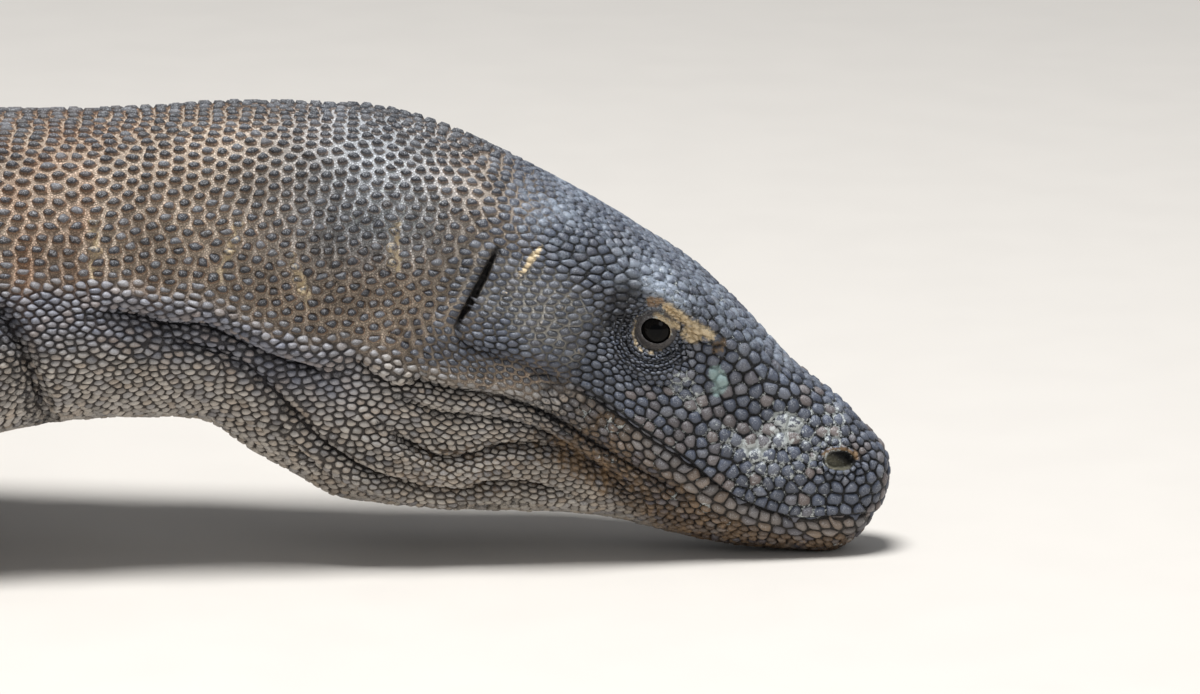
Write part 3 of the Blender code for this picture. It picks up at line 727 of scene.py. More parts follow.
skin_mesh = in_fixed_order(skin_mesh)
skin_mesh.calc_loop_triangles()
flat = np.empty(len(skin_mesh.loop_triangles) * 3, np.int32)
skin_mesh.loop_triangles.foreach_get("vertices", flat)
skin_faces = flat.reshape(-1, 3)
skin_points, skin_normals = get_points(skin_mesh), get_points(skin_mesh, "normal")
skin_zones = zone_of(skin_points)
edges = get_edges(skin_mesh)
skin_spacing, skin_height, skin_stretch, skin_slope = (spread(values, edges, 5) for values in (
    *scale_size(skin_points, skin_zones), *scale_rows(skin_points, skin_zones)))
skin_spacing *= 1 + 0.1 * slow_noise(skin_points, 0.018, 6.0)
skin_tree = BVHTree.FromPolygons(skin_points.tolist(), skin_faces.tolist())
print("triangles to search", len(skin_faces))


# %% Reading them at any place
def on_skin(points):
    """Nearest places on the skin, with the triangle and the three corners' shares."""
    hits = [skin_tree.find_nearest(p) for p in points.tolist()]
    places = np.array([hit[0] for hit in hits])
    corners = skin_faces[[hit[2] for hit in hits]]
    a, b, c = (skin_points[corners[:, k]] for k in range(3))
    normal = np.cross(b - a, c - a)
    whole = np.maximum((normal**2).sum(1), 1e-20)
    second = (np.cross(places - a, c - a) * normal).sum(1) / whole
    third = (np.cross(b - a, places - a) * normal).sum(1) / whole
    return places, corners, np.clip(np.stack([1 - second - third, second, third], 1), 0, 1)


def read(values, corners, shares):
    picked = values[corners]
    return (picked * (shares if values.ndim == 1 else shares[:, :, None])).sum(1)


def unit(vectors):
    return vectors / np.maximum(np.linalg.norm(vectors, axis=1, keepdims=True), 1e-12)


def rows_on_skin(normals, slope):
    """Two directions in the skin: along a row towards the tail, and across the row."""
    tailward = np.stack([-np.cos(slope), np.zeros(len(slope)), np.sin(slope)], 1)
    tailward[np.abs((tailward * normals).sum(1)) > 0.95] = [0.0, 0.0, 1.0]
    back = unit(tailward - (tailward * normals).sum(1)[:, None] * normals)
    return back, np.cross(normals, back)


def length_in_rows(away, back, across, stretch):
    """Length of each vector, in a measure where a scale of that stretch counts as round."""
    along, side = (away * back[:, None]).sum(2), (away * across[:, None]).sum(2)
    stretch = stretch[:, None]
    whole = (away**2).sum(2) + along**2 * (1 / stretch - 1) + side**2 * (stretch - 1)
    return np.sqrt(np.maximum(whole, 1e-18))


def read_rows(corners, shares):
    """(spacing, normal, way along a row, way across it, stretch) at places on the skin."""
    normals = unit(read(skin_normals, corners, shares))
    back, across = rows_on_skin(normals, read(skin_slope, corners, shares))
    return read(skin_spacing, corners, shares), normals, back, across, read(skin_stretch, corners, shares)


_, corners, shares = on_skin(np.array([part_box("head")[1]]))
print("spacing near the top of the head", read(skin_spacing, corners, shares).round(4))

# %% [markdown]
# ## Scattering the seeds
#
# First come the seeds whose place is known: rings round the eyes and nostrils, rows along the lips,
# and the rings of scales round the trunk and tail. Random seeds fill the rest. A seed that falls
# too near an earlier one is dropped, and the free ones push each other apart for a few rounds.
# Ghost seeds in the eyes, nostrils and ears keep the scales out of them.

# %% Places round the eye, the nostril and along a curve
RAY = 0.12  # rays start this far out on each side


def sides_of(u, n):
    """Both sides' places on the skin for points in the head's view."""
    found = []
    for side in (-1, 1):
        for start in from_head_view(np.asarray(u), np.asarray(n), np.full(len(u), side * RAY)):
            hit = skin_tree.ray_cast(Vector(start), Vector((0, -side, 0)), RAY)[0]
            if hit is not None and abs(hit.y - AXIS_START[1]) > 2 * MM:
                found.append(hit)
    return np.array(found).reshape(-1, 3)


def eye_ring(radius, spacing):
    angle = np.arange(0, 2 * math.pi, spacing / radius)
    return EYE_U + radius * np.cos(angle), EYE_N + radius * np.sin(angle)


def eye_rim(radius, spacing):
    """Places on both eyes' lids, on the ball's own curve."""
    u, n = eye_ring(radius, spacing)
    out = EYE_DEEP + math.sqrt((EYE_BALL + LID) ** 2 - radius**2)
    return np.concatenate([from_head_view(u, n, np.full(len(u), side * out)) for side in (-1, 1)])


def round_nostril(edge, count):
    angle = np.arange(count) * 2 * math.pi / count
    p, q = edge * NOSTRIL_LONG * np.cos(angle), edge * NOSTRIL_TALL * np.sin(angle)
    back = p * math.cos(NOSTRIL_TILT) + q * math.sin(NOSTRIL_TILT)
    return sides_of(NOSTRIL_U + back, NOSTRIL_N - p * math.sin(NOSTRIL_TILT) + q * math.cos(NOSTRIL_TILT))


def beside(knots, distance, spacing, start=0.0, end=1.0):
    line = curve_through(knots, 200)
    length = np.concatenate([[0], np.cumsum(np.hypot(*np.diff(line, axis=0).T))])
    at = np.arange(start * length[-1], end * length[-1], spacing)
    u, n = np.interp(at, length, line[:, 0]), np.interp(at, length, line[:, 1])
    du, dn = np.gradient(u), np.gradient(n)
    scale = distance / np.hypot(du, dn)
    return sides_of(u - dn * scale, n + du * scale)


ghosts = np.concatenate([
    eye_rim(APERTURE, 1.5 * MM), sides_of(*eye_ring(8.1 * MM, 1.4 * MM)),
    round_nostril(0.05, 1), round_nostril(0.55, 10), beside(EAR_LINE, 0, 1.4 * MM, 0.06, 0.9)])
pinned = np.concatenate([
    sides_of(*eye_ring(EYE_RINGS[0], EYE_RING_SPACING[0])),
    round_nostril(1.38, 15), round_nostril(1.95, 15),
    beside(MOUTH_LINE, 3.1 * MM, 5.6 * MM, 0.03), beside(MOUTH_LINE, -3.0 * MM, 5.2 * MM, 0.03),
    beside(EAR_LINE, 3.4 * MM, 3.6 * MM), beside(EAR_LINE, -3.4 * MM, 3.6 * MM)])
print("ghosts", len(ghosts), "pinned", len(pinned))


# %% Rings round the body
def read_near(values, points):
    return read(values, *on_skin(points)[1:])


def body_rings():
    """Seeds in rings round the neck, trunk and tail, each ring half a step on from the last."""
    core = skin_points[among(skin_zones, "neck", "trunk", "tail")]
    seeds, row = [], 0
    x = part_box("neck")[1].x - 0.01
    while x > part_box("tail_end")[0].x + 0.004:
        slab = core[np.abs(core[:, 0] - x) < 0.012]
        middle = Vector((x, *((slab[:, k].min() + slab[:, k].max()) / 2 for k in (1, 2))))
        angles = np.linspace(0, 2 * math.pi, 181)
        ring = [skin_tree.ray_cast(middle, Vector((0, math.sin(t), math.cos(t))), 0.5)[0] for t in angles]
        ring = np.array([hit for hit in ring if hit is not None])
        if len(ring) < 20:
            break
        steps = np.linalg.norm(np.diff(ring, axis=0), axis=1)
        along = np.concatenate([[0], np.cumsum(steps)])
        step = float(np.median(read_near(skin_spacing, ring[:12])))
        longer = math.sqrt(float(np.median(read_near(skin_stretch, ring[:12]))))
        count = max(round(along[-1] * longer / step), 8)
        shake = RANDOM.random((2, count)) - 0.5
        at = (np.arange(count) + 0.5 * (row % 2) + 0.6 * shake[0]) * along[-1] / count
        placed = np.stack([np.interp(at, along, ring[:, k]) for k in range(3)], 1)
        # The rings lean forward at the top, and are a little uneven
        forward = 0.22 * (placed[:, 2] - middle.z) + shake[1] * 0.55 * step
        seeds.append(placed + np.outer(forward, [1, 0, 0]))
        x, row = x - 0.87 * step * longer, row + 1
    return np.concatenate(seeds)


rings = body_rings()
print("seeds in rings", len(rings))


# %% Random seeds, and thinning them
def random_seeds(over):
    a, b, c = (skin_points[skin_faces[:, k]] for k in range(3))
    area = np.linalg.norm(np.cross(b - a, c - a), axis=1) / 2
    share = area / skin_spacing[skin_faces].mean(1) ** 2
    count = int(over * share.sum())
    picked = RANDOM.choice(len(area), count, p=share / share.sum())
    r, s = np.sqrt(RANDOM.random(count))[:, None], RANDOM.random(count)[:, None]
    return a[picked] * (1 - r) + b[picked] * r * (1 - s) + c[picked] * r * s


def tree_of(points):
    tree = KDTree(len(points))
    for index, point in enumerate(points.tolist()):
        tree.insert(point, index)
    tree.balance()
    return tree


def thinned(points, reach, safe):
    """The points that stay when each one removes later ones within reach, unless they are safe."""
    tree = tree_of(points)
    alive = np.ones(len(points), bool)
    for index, point in enumerate(points.tolist()):
        if alive[index]:
            for _, other, away in tree.find_range(point, reach[index]):
                if other > index and (not safe[other] or away < MM):
                    alive[other] = False
    return alive


def in_hole(places, free):
    """Whether a place is in an eye, nostril or ear. The free seeds keep further away."""
    u, n, out = head_view(places)
    out, edge = np.abs(out), nostril_shape(u, n)
    from_eye = np.hypot(u - EYE_U, n - EYE_N)
    hole = (out > 12 * MM) & ((from_eye < 9.2 * MM) | (edge < 1.12))
    hole |= (out > 30 * MM) & (np.abs(from_line(u, n, EAR_LINE)[0]) < 2.6 * MM)
    hole |= (out > 12 * MM) & (from_eye < 11.0 * MM) & free
    return hole | (out > 8 * MM) & (edge < 2.2) & free


rings = rings[head_view(rings)[0] > 0.2]  # the head has none
loose = random_seeds(4.5)
candidates = np.concatenate([ghosts, pinned, rings, loose])
kind = np.repeat([0, 1, 2, 3], [len(ghosts), len(pinned), len(rings), len(loose)])
places, corners, shares = on_skin(candidates)
reach = 0.76 * read(skin_spacing, corners, shares)
usable = (kind == 0) | ~in_hole(places, kind == 3)
loose = loose[usable[kind == 3]]
order = np.flatnonzero(usable)
order = order[thinned(places[order], reach[order], (kind < 2)[order])]
seeds, kind = places[order], kind[order]
print("seeds", len(seeds), "by kind", np.bincount(kind))


# %% Pushing the seeds apart
def neighbours(points, count):
    tree = tree_of(points)
    return np.array([[hit[1] for hit in tree.find_n(p, count + 1)][1:] for p in points.tolist()])


def pushed_apart(seeds, free, rounds):
    for _ in range(rounds):
        places, corners, shares = on_skin(seeds)
        wish, _, back, across, stretch = read_rows(corners, shares)
        near = neighbours(places, 9)
        away = places[:, None] - places[near]
        length = length_in_rows(away, back, across, stretch)
        wished = 0.5 * (wish[:, None] + wish[near]) * 1.16
        push = np.maximum(wished - length, 0) / length
        seeds = places + free[:, None] * 0.3 * (away * push[:, :, None]).sum(1)
    return on_skin(seeds)


def holes_filled(seeds, extra, gap):
    """The extra places that lie further than spacing x gap from every seed, thinned."""
    tree = tree_of(seeds)
    wish, _, back, across, stretch = read_rows(*on_skin(extra)[1:])
    near = np.array([[hit[1] for hit in tree.find_n(p, 5)] for p in extra.tolist()])
    away = extra[:, None] - seeds[near]
    lonely = length_in_rows(away, back, across, stretch).min(1) > gap * wish
    return extra[lonely][thinned(extra[lonely], 0.7 * wish[lonely], np.zeros(lonely.sum(), bool))]


FREEDOM = np.array([0.0, 0.0, 0.45, 1.0])  # of ghosts, pinned seeds, rings and random ones
seeds = pushed_apart(seeds, FREEDOM[kind], 4)[0]
added = holes_filled(seeds, loose, 0.66)
seeds, kind = np.concatenate([seeds, added]), np.concatenate([kind, np.full(len(added), 3)])
seeds, corners, shares = pushed_apart(seeds, FREEDOM[kind], 9)
seed_spacing, seed_normals, seed_back, seed_round, seed_stretch = read_rows(corners, shares)
seed_height, seed_zone = read(skin_height, corners, shares), skin_zones[corners[:, 0]]
print("filled", len(added), "holes,", len(seeds), "seeds in all")

# %% [markdown]
# ## One cell for each seed
#
# A scale's outline is the polygon of all that is nearer to its seed than to any neighbour. Each
# neighbour gives one straight border, half way across. Corners are where two borders meet and no
# other border cuts them off. Shrinking the polygon leaves the groove between scales.

# %% Corners of the cells
WIDEST = 0.72  # no corner is further from its seed than about this share of the spacing


def cell_corners(which, near):
    """Corners of the cells of these seeds, as flat offsets, in order round each seed."""
    d = seeds[near] - seeds[which][:, None]
    x, y = (d * seed_back[which][:, None]).sum(2), (d * seed_round[which][:, None]).sum(2)
    bent = np.linalg.norm(d, axis=2) / np.maximum(np.hypot(x, y), 1e-9)
    root = np.sqrt(seed_stretch[which])[:, None]
    x, y = x * np.minimum(bent, 1.4) / root, y * np.minimum(bent, 1.4) * root
    weight = (0.5 * seed_spacing) ** 2
    limit = (x**2 + y**2 + weight[which][:, None] - weight[near]) / 2
    # A neighbour on the far side of a thin part cuts nothing off
    facing = (seed_normals[near] * seed_normals[which][:, None]).sum(2)
    limit[facing < -0.4] = 1.0
    # Eight more borders hold the cell in where it has few neighbours
    turns = np.arange(8) * math.pi / 4 + 0.2
    x = np.concatenate([x, np.tile(np.cos(turns), (len(which), 1))], 1)
    y = np.concatenate([y, np.tile(np.sin(turns), (len(which), 1))], 1)
    limit = np.concatenate([limit, np.tile(seed_spacing[which][:, None] * WIDEST, (1, 8))], 1)
    j, k = np.triu_indices(x.shape[1], 1)
    cross = x[:, j] * y[:, k] - x[:, k] * y[:, j]
    cross = np.where(np.abs(cross) < 1e-12, 1e-12, cross)
    px = (limit[:, j] * y[:, k] - limit[:, k] * y[:, j]) / cross
    py = (limit[:, k] * x[:, j] - limit[:, j] * x[:, k]) / cross
    fits = np.ones(px.shape, bool)
    for m in range(x.shape[1]):
        fits &= px * x[:, m:m + 1] + py * y[:, m:m + 1] <= limit[:, m:m + 1] + 1e-9
    found = []
    for row in range(len(which)):
        corners = np.stack([px[row][fits[row]], py[row][fits[row]]], 1)
        corners = corners[np.argsort(np.arctan2(corners[:, 1], corners[:, 0]))]
        if len(corners) > 2:
            apart = np.hypot(*(corners - np.roll(corners, 1, axis=0)).T)
            corners = corners[apart > 0.05 * seed_spacing[which[row]]]
        found.append(corners * [root[row, 0], 1 / root[row, 0]])
    return found


def cut_corners(corners, cut):
    """Each corner becomes two, which rounds the outline."""
    following = np.roll(corners, -1, axis=0)
    both = np.stack([corners * (1 - cut) + following * cut, corners * cut + following * (1 - cut)], 1)
    return both.reshape(-1, 2)


near = neighbours(seeds, 13)
outlines = []
for first in range(0, len(seeds), 2000):
    which = np.arange(first, min(first + 2000, len(seeds)))
    outlines += cell_corners(which, near[which])
print("cells", len(outlines), "mean corners", round(np.mean([len(o) for o in outlines]), 2))

# %% [markdown]
# ## Raising the scales with Geometry Nodes
#
# The tree takes flat cells and lifts each one twice: first to a shoulder a little smaller than its
# foot, then to a crown that is smaller still. The attribute `rise` says how far and which way each
# cell goes, and `level` comes out as 0 in the groove and 1 on the crown, for the colours to use.

# %% The tree
def raising_tree():
    tree = bpy.data.node_groups.new("raise scales", "GeometryNodeTree")
    socket = tree.interface.new_socket
    socket("Cells", in_out="INPUT", socket_type="NodeSocketGeometry")
    for name in ("Shoulder height", "Shoulder size", "Crown size"):
        socket(name, in_out="INPUT", socket_type="NodeSocketFloat")
    socket("Finish", in_out="INPUT", socket_type="NodeSocketMaterial")
    socket("Scales", in_out="OUTPUT", socket_type="NodeSocketGeometry")
    node, link = tree.nodes.new, tree.links.new
    given, result = node("NodeGroupInput"), node("NodeGroupOutput")
    rest = node("ShaderNodeMath")
    rest.operation = "SUBTRACT"
    rest.inputs[0].default_value = 1.0
    link(given.outputs["Shoulder height"], rest.inputs[1])
    flow = given.outputs["Cells"]
    steps = ((given.outputs["Shoulder height"], given.outputs["Shoulder size"], 0.55),
             (rest.outputs[0], given.outputs["Crown size"], 1.0))
    for height, size, level in steps:
        rise, part, lift, shrink, mark = (node(kind) for kind in (
            "GeometryNodeInputNamedAttribute", "ShaderNodeVectorMath", "GeometryNodeExtrudeMesh",
            "GeometryNodeScaleElements", "GeometryNodeStoreNamedAttribute"))
        rise.data_type, part.operation = "FLOAT_VECTOR", "SCALE"
        rise.inputs["Name"].default_value = "rise"
        link(rise.outputs["Attribute"], part.inputs[0])
        link(height, part.inputs["Scale"])
        link(flow, lift.inputs["Mesh"])
        link(part.outputs[0], lift.inputs["Offset"])
        if level == 1.0:
            link(top, lift.inputs["Selection"])
        top = lift.outputs["Top"]
        link(lift.outputs["Mesh"], shrink.inputs["Geometry"])
        link(top, shrink.inputs["Selection"])
        link(size, shrink.inputs["Scale"])
        mark.data_type, mark.domain = "FLOAT", "POINT"
        mark.inputs["Name"].default_value = "level"
        mark.inputs["Value"].default_value = level
        link(shrink.outputs["Geometry"], mark.inputs["Geometry"])
        link(top, mark.inputs["Selection"])
        flow = mark.outputs["Geometry"]
    for kind in ("GeometryNodeSetShadeSmooth", "GeometryNodeRealizeInstances", "GeometryNodeSetMaterial"):
        last = node(kind)
        link(flow, last.inputs["Geometry"])
        flow = last.outputs["Geometry"]
    link(given.outputs["Finish"], last.inputs["Material"])
    link(flow, result.inputs["Scales"])
    return tree


RAISING = raising_tree()
print("tree nodes", len(RAISING.nodes))

# %% Cells to scales
SUNK = 0.25 * MM
LEAN = np.array([0.25, 0.25, 0.25, 0.15, 0.15, 0.05, 0.05, 0.05])  # tailward, for each zone


def add_attribute(mesh, name, values, kind="FLOAT", domain="POINT"):
    made = mesh.attributes.new(name, kind, domain)
    field = {"FLOAT": "value", "INT": "value", "FLOAT_VECTOR": "vector"}[kind]
    made.data.foreach_set(field, np.asarray(values).ravel())


def raised(name, chosen, fill, cut, shape, finish, squash):
    """The scales of the chosen seeds as one plain mesh, with each face's seed in `scale`."""
    offsets = [outlines[i] * fill[i] * SEED_SIZE[i] * squash for i in chosen]
    if cut:
        offsets = [cut_corners(o, cut) for o in offsets]
    count = np.array([len(o) for o in offsets])
    owner, flat = np.repeat(chosen, count), np.concatenate(offsets)
    corners = seeds[owner] + seed_back[owner] * flat[:, :1] + seed_round[owner] * flat[:, 1:]
    corners = on_skin(corners)[0] - seed_normals[owner] * SUNK
    ends = np.cumsum(count)
    mesh = bpy.data.meshes.new(name)
    mesh.from_pydata(corners.tolist(), [], [list(range(e - c, e)) for e, c in zip(ends, count)])
    lean = seed_back[chosen] * LEAN[seed_zone[chosen]][:, None]
    rise = (seed_normals[chosen] + lean) * (seed_height[chosen] * SEED_TALL[chosen] + SUNK)[:, None]
    add_attribute(mesh, "rise", rise, "FLOAT_VECTOR", "FACE")
    add_attribute(mesh, "scale", chosen, "INT", "FACE")
    add_attribute(mesh, "level", np.zeros(len(corners)))
    made = linked(name, mesh)
    lift = made.modifiers.new("raise", "NODES")
    lift.node_group = RAISING
    sockets = {item.name: item.identifier for item in RAISING.interface.items_tree}
    for socket, value in zip(("Shoulder height", "Shoulder size", "Crown size"), shape):
        lift[sockets[socket]] = value
    lift[sockets["Finish"]] = finish
    mesh = evaluated(made)
    mesh.name = name
    return mesh


print("scales lean by", dict(zip(ZONES, LEAN.tolist())))

# %% [markdown]
# ## Where the colours lie
#
# The same formulas colour the skin and every scale, so that they agree. Each mask is 0 to 1 over
# the body: some say which part of the animal it is, the others are markings, and some of these also
# carry painted shade and painted light. A scale takes all its masks from its own seed, so a marking
# ends along the grooves, as in life.

# %% Soft spots
def patch(x, y, px, py, width, tall, tilt=0.0):
    """A soft oval spot round (px, py)."""
    c, s = math.cos(tilt), math.sin(tilt)
    a, b = (x - px) * c + (y - py) * s, (y - py) * c - (x - px) * s
    return ramp(np.hypot(a / width, b / tall), 1.3, 0.7)


def spots(x, y, rows):
    """The strongest of several spots, each given as its strength and the numbers of its patch."""
    return np.max([strength * patch(x, y, *numbers) for strength, *numbers in rows], axis=0)


# Strength, middle, width and height, and tilt: on the snout, then in the skin between the beads
WHITE = ((1, 0.057, 0.0235, 0.0085, 0.0075), (1, 0.064, 0.0095, 0.009, 0.0035, -0.2),
         (0.6, 0.045, 0.0079, 0.011, 0.0028, -0.5), (0.65, 0.104, 0.018, 0.013, 0.006, 0.3),
         (0.55, 0.08, 0.008, 0.012, 0.006))
STREAKS = tuple((1, back, level, 0.0018, 0.013, tilt) for back, level, tilt in (
    (0.334, 0.145, 0.0), (0.277, 0.144, 0.35), (0.246, 0.13, -0.35), (0.206, 0.145, 0.0)))
print("spots", len(WHITE) + len(STREAKS))


# %% Parts of the body
def regions(points, zones, grain, broad):
    """Masks that say which part of the animal a point is on."""
    back, level, _ = side_view(points)
    u, n, _ = head_view(points)
    mouth = from_line(u, n, MOUTH_LINE)[0]
    ragged = u + 0.012 * broad + 0.006 * grain
    under = n + 0.55 * np.maximum(u - 0.17, 0) + 0.003 * grain
    head = ramp(ragged, 0.245, 0.185) * ramp(under, -0.012, 0.006)
    head = np.where(u < 0.15, ramp(mouth, -0.003, 0.001), head)
    lower_lip = ramp(mouth, -0.01, -0.006) * ramp(u, 0.125, 0.1) * (mouth < 0)
    head = np.maximum(head, 0.6 * lower_lip)
    jaw = ramp(u, 0.165, 0.13) * (1 - head) * ramp(np.abs(mouth), 0.042, 0.024)
    above = level - fold_height(back) + 0.004 * grain
    low = ramp(above, 0.017, 0.005) * ramp(back, 0.43, 0.38)
    temple = (head * ramp(u + 0.01 * grain, 0.146, 0.162) * ramp(n + 0.008 * grain, 0.042, 0.028)
              * ramp(n, 0.0, 0.012) * ramp(0.4 * broad + 0.6 * grain, -0.55, 0.35))
    beads = (1 - head) * (1 - jaw) * (1 - low) * ramp(back, 0.52, 0.42)
    body, legs = ramp(back, 0.36, 0.5), among(zones, "upper", "lower", "foot").astype(float)
    return {
        "beads": beads, "head": head, "jaw": jaw, "low": low,
        "slate": low * ramp(above, -0.026, -0.006) * ramp(back, 0.2, 0.24),
        "body": body, "legs": legs, "temple": temple,
        "nape": bump(back, 0.215, 0.04) * ramp(level, 0.125, 0.155) * (1 - head),
        "belly": ramp(level, 0.06, 0.015) * np.maximum(body, 0.4) * (1 - legs),
    }


print("regions", ", ".join(regions(seeds[:1], seed_zone[:1], 0.0, 0.0)))


# %% Markings round the eye
def eye_markings(points):
    """Masks of the skin round the eye. Sizes are mm from the middle of the eye."""
    u, n, _ = head_view(points)
    x, y = (u - EYE_U) / MM, (n - EYE_N) / MM
    away, angle = np.hypot(x, y), np.degrees(np.arctan2(y, x))
    broken = 0.45 + 1.1 * slow_noise(points, 0.0035, 13.0)
    return {
        "lid": ramp(away, 9.6, 8.6),
        "bar": bump(y, 5.9, 1.3) * ramp(x, -10, -8) * ramp(x, 6, 3),
        "brow": bump(y - 0.07 * x, 11.0, 2.5) * ramp(x, -26, -21) * ramp(x, 6, 0.0),
        "corner": patch(x, y, -14.5, 6.0, 5.0, 4.2),
        "brown_start": patch(x, y, 6.5, 11.0, 4.5, 3.0, -0.5),
        "brown_end": patch(x, y, -27.5, 7.0, 3.2, 4.4),
        "under": bump(away, 9.9, 1.2) * ramp(angle, -150, -120) * ramp(angle, 35, 5) * broken,
        # Painted highlight: a pale glint on the upper front edge of the lids.
        "lid_glint": 0.75 * bump(away, 6.4, 0.45) * ramp(np.abs(angle - 140), 75, 45),
        "bags": bump(away, 13.0, 1.3) * ramp(angle, -170, -150) * ramp(angle, 10, -20),
    }


print("round the eye", ", ".join(eye_markings(seeds[:1])))


# %% All the masks
def masks(points, zones, on_scales=True):
    """The masks at some points. A streak in the skin between the beads hardly colours the beads."""
    back, level, out = side_view(points)
    u, n, _ = head_view(points)
    grain, broad = slow_noise(points, 0.006, 2.0), slow_noise(points, 0.03, 5.0)
    cloud, other_cloud = slow_noise(points, 0.075, 21.0), slow_noise(points, 0.06, 27.0)
    on_side = np.abs(out) > 0.012
    mouth = from_line(u, n, MOUTH_LINE)[0]
    part, eye = regions(points, zones, grain, broad), eye_markings(points)
    head, jaw, body, temple = (part[name] for name in ("head", "jaw", "body", "temple"))

    tick = patch(u, n, 0.1923, 0.036, 0.0015, 0.0085, 0.15)
    flecks = 0.45 * ramp(slow_noise(points, 0.0045, 12.0), 0.3, 0.55) * temple
    # Cream also carries the painted glint on the lids' edge.
    cream = on_side * np.max([1.2 * eye["bar"], 1.2 * eye["brow"], 0.9 * eye["corner"],
                              0.95 * eye["under"], eye["lid_glint"], tick, flecks], axis=0)
    cream = np.maximum(cream * np.where(part["beads"] > 0.5, 0.35, 1.0),
                       (0.4 if on_scales else 0.9) * spots(back, level, STREAKS))
    mint = patch(u, n, 0.0955, 0.03, 0.0046, 0.0036, 0.4) + patch(u, n, 0.0918, 0.0262, 0.003, 0.0044)

    flaky = head * ramp(u, 0.16, 0.11) * ramp(mouth, -0.004, 0.004) * (0.15 + 0.45 * ramp(broad, -0.1, 0.4))
    on_lip = jaw * ramp(slow_noise(points, 0.009, 31.0), 0.1, 0.45) * ramp(mouth, -0.032, -0.008)
    on_nape = 0.3 * bump(back, 0.205, 0.03) * ramp(level, 0.135, 0.16)
    flaky = np.max([flaky, spots(u, n, WHITE) * on_side, 0.6 * on_lip, on_nape], axis=0)

    edge, over = nostril_shape(u, n), n + 0.35 * (u - NOSTRIL_U)
    rim = on_side * bump(edge, 1.22, 0.22) * ramp(over, NOSTRIL_N, NOSTRIL_N + 0.002)
    # Painted light: the lower inside of the nostril is painted pale olive, as if lit from above.
    lit_nostril_floor = on_side * ramp(edge, 1.15, 1.0) * ramp(n, NOSTRIL_N + 0.001, NOSTRIL_N - 0.003)
    brown = 0.25 * eye["corner"] + 0.5 * eye["brown_end"] + 0.8 * eye["brown_start"]
    on_rolls = 0.45 * jaw * bump(mouth, -0.03, 0.01) * (0.5 + grain)
    on_rolls = on_rolls + 0.26 * patch(back, level, 0.165, 0.046, 0.05, 0.016) * (1 - head)

    # Painted shade: a dark band just under the main fold and along the shoulder fold, and along the other
    # folds' grooves.
    folds = np.maximum(groove_along(back, level, MAIN_FOLD, 0.003, -0.002),
                       groove_along(back, level, SHOULDER_FOLD, 0.01, 0.003))
    grooves = np.max([groove_along(back, level, line, 0.003)
                      for line in (DIAGONAL_FOLD, LOW_FOLD, THROAT_FOLD, *JAW_FOLDS)], axis=0)
    cheek = bump(mouth, -0.004, 0.016) * ramp(u, 0.1, 0.14) * ramp(u, 0.225, 0.19)
    behind_eye = bump(u, 0.1475, 0.009) * bump(n, 0.037, 0.016)
    # Painted shade inside the ear slit.
    ear_slit_shade = groove_along(u, n, EAR_LINE, 0.0022)
    dark = on_side * (0.55 * cheek + behind_eye + 0.3 * eye["bags"] + 1.1 * ear_slit_shade + 0.75 * eye["brown_end"])
    dark = dark + 0.5 * grooves + 0.6 * folds + 0.35 * patch(back, level, 0.226, 0.138, 0.026, 0.022)
    dark = dark + 0.4 * body * ramp(other_cloud, 0.05, 0.5)

    rusty = ramp(back, 0.27, 0.37) * ramp(level, 0.095, 0.125) * ramp(back, 0.48, 0.42)
    streaks = 0.4 + 0.65 * slow_noise(points * (1.0, 1.0, 0.22), 0.014, 7.0)
    warm = rusty * (1 - 0.8 * part["low"]) * streaks
    warm = warm + 0.06 * part["beads"] + 0.28 * body * ramp(cloud, 0.0, 0.5)
    # The top of the head is pale blue-grey: partly the scales' own colour, partly a painted bluish sky sheen
    # on the surfaces that face up.
    crown = ramp(n, 0.034, 0.048) * head
    markings = {
        "cream": cream, "mint": mint * on_side, "flaky": flaky, "dark": dark, "warm": warm,
        "ochre": rim + brown * on_side + jaw * (0.18 + 0.35 * grain) + on_rolls,
        "pale": 0.68 * crown * (0.6 + 0.5 * broad + 0.4 * grain) + 0.3 * body * ramp(cloud, -0.1, -0.5),
    }
    return part | {
        "beads": np.maximum(part["beads"], 0.4 * temple),
        "lid": on_side * eye["lid"], "lit_nostril_floor": lit_nostril_floor, "mottle": 0.5 + 0.5 * broad,
    } | {name: np.clip(values, 0, 1) for name, values in markings.items()}


seed_masks = masks(seeds, seed_zone)
print("masks", ", ".join(seed_masks))

# %% [markdown]
# ## The finish of hide and scales
#
# One material serves both. Every part of the animal has a colour for the groove and one for the
# crown of a scale, mixed by `level`; the upper side of each scale leans to the crown, partly as a
# painted top light. Markings come after, then dust, fine grain and a bump too small to model. The
# masks arrive as attributes.

# %% Colours and short words for shader nodes
def linear(red, green, blue):
    """A colour given as it looks on a screen, 0 to 255, as the shader wants it."""
    return (*(((c / 255 + 0.055) / 1.055) ** 2.4 if c > 10 else c / 3300 for c in (red, green, blue)), 1)


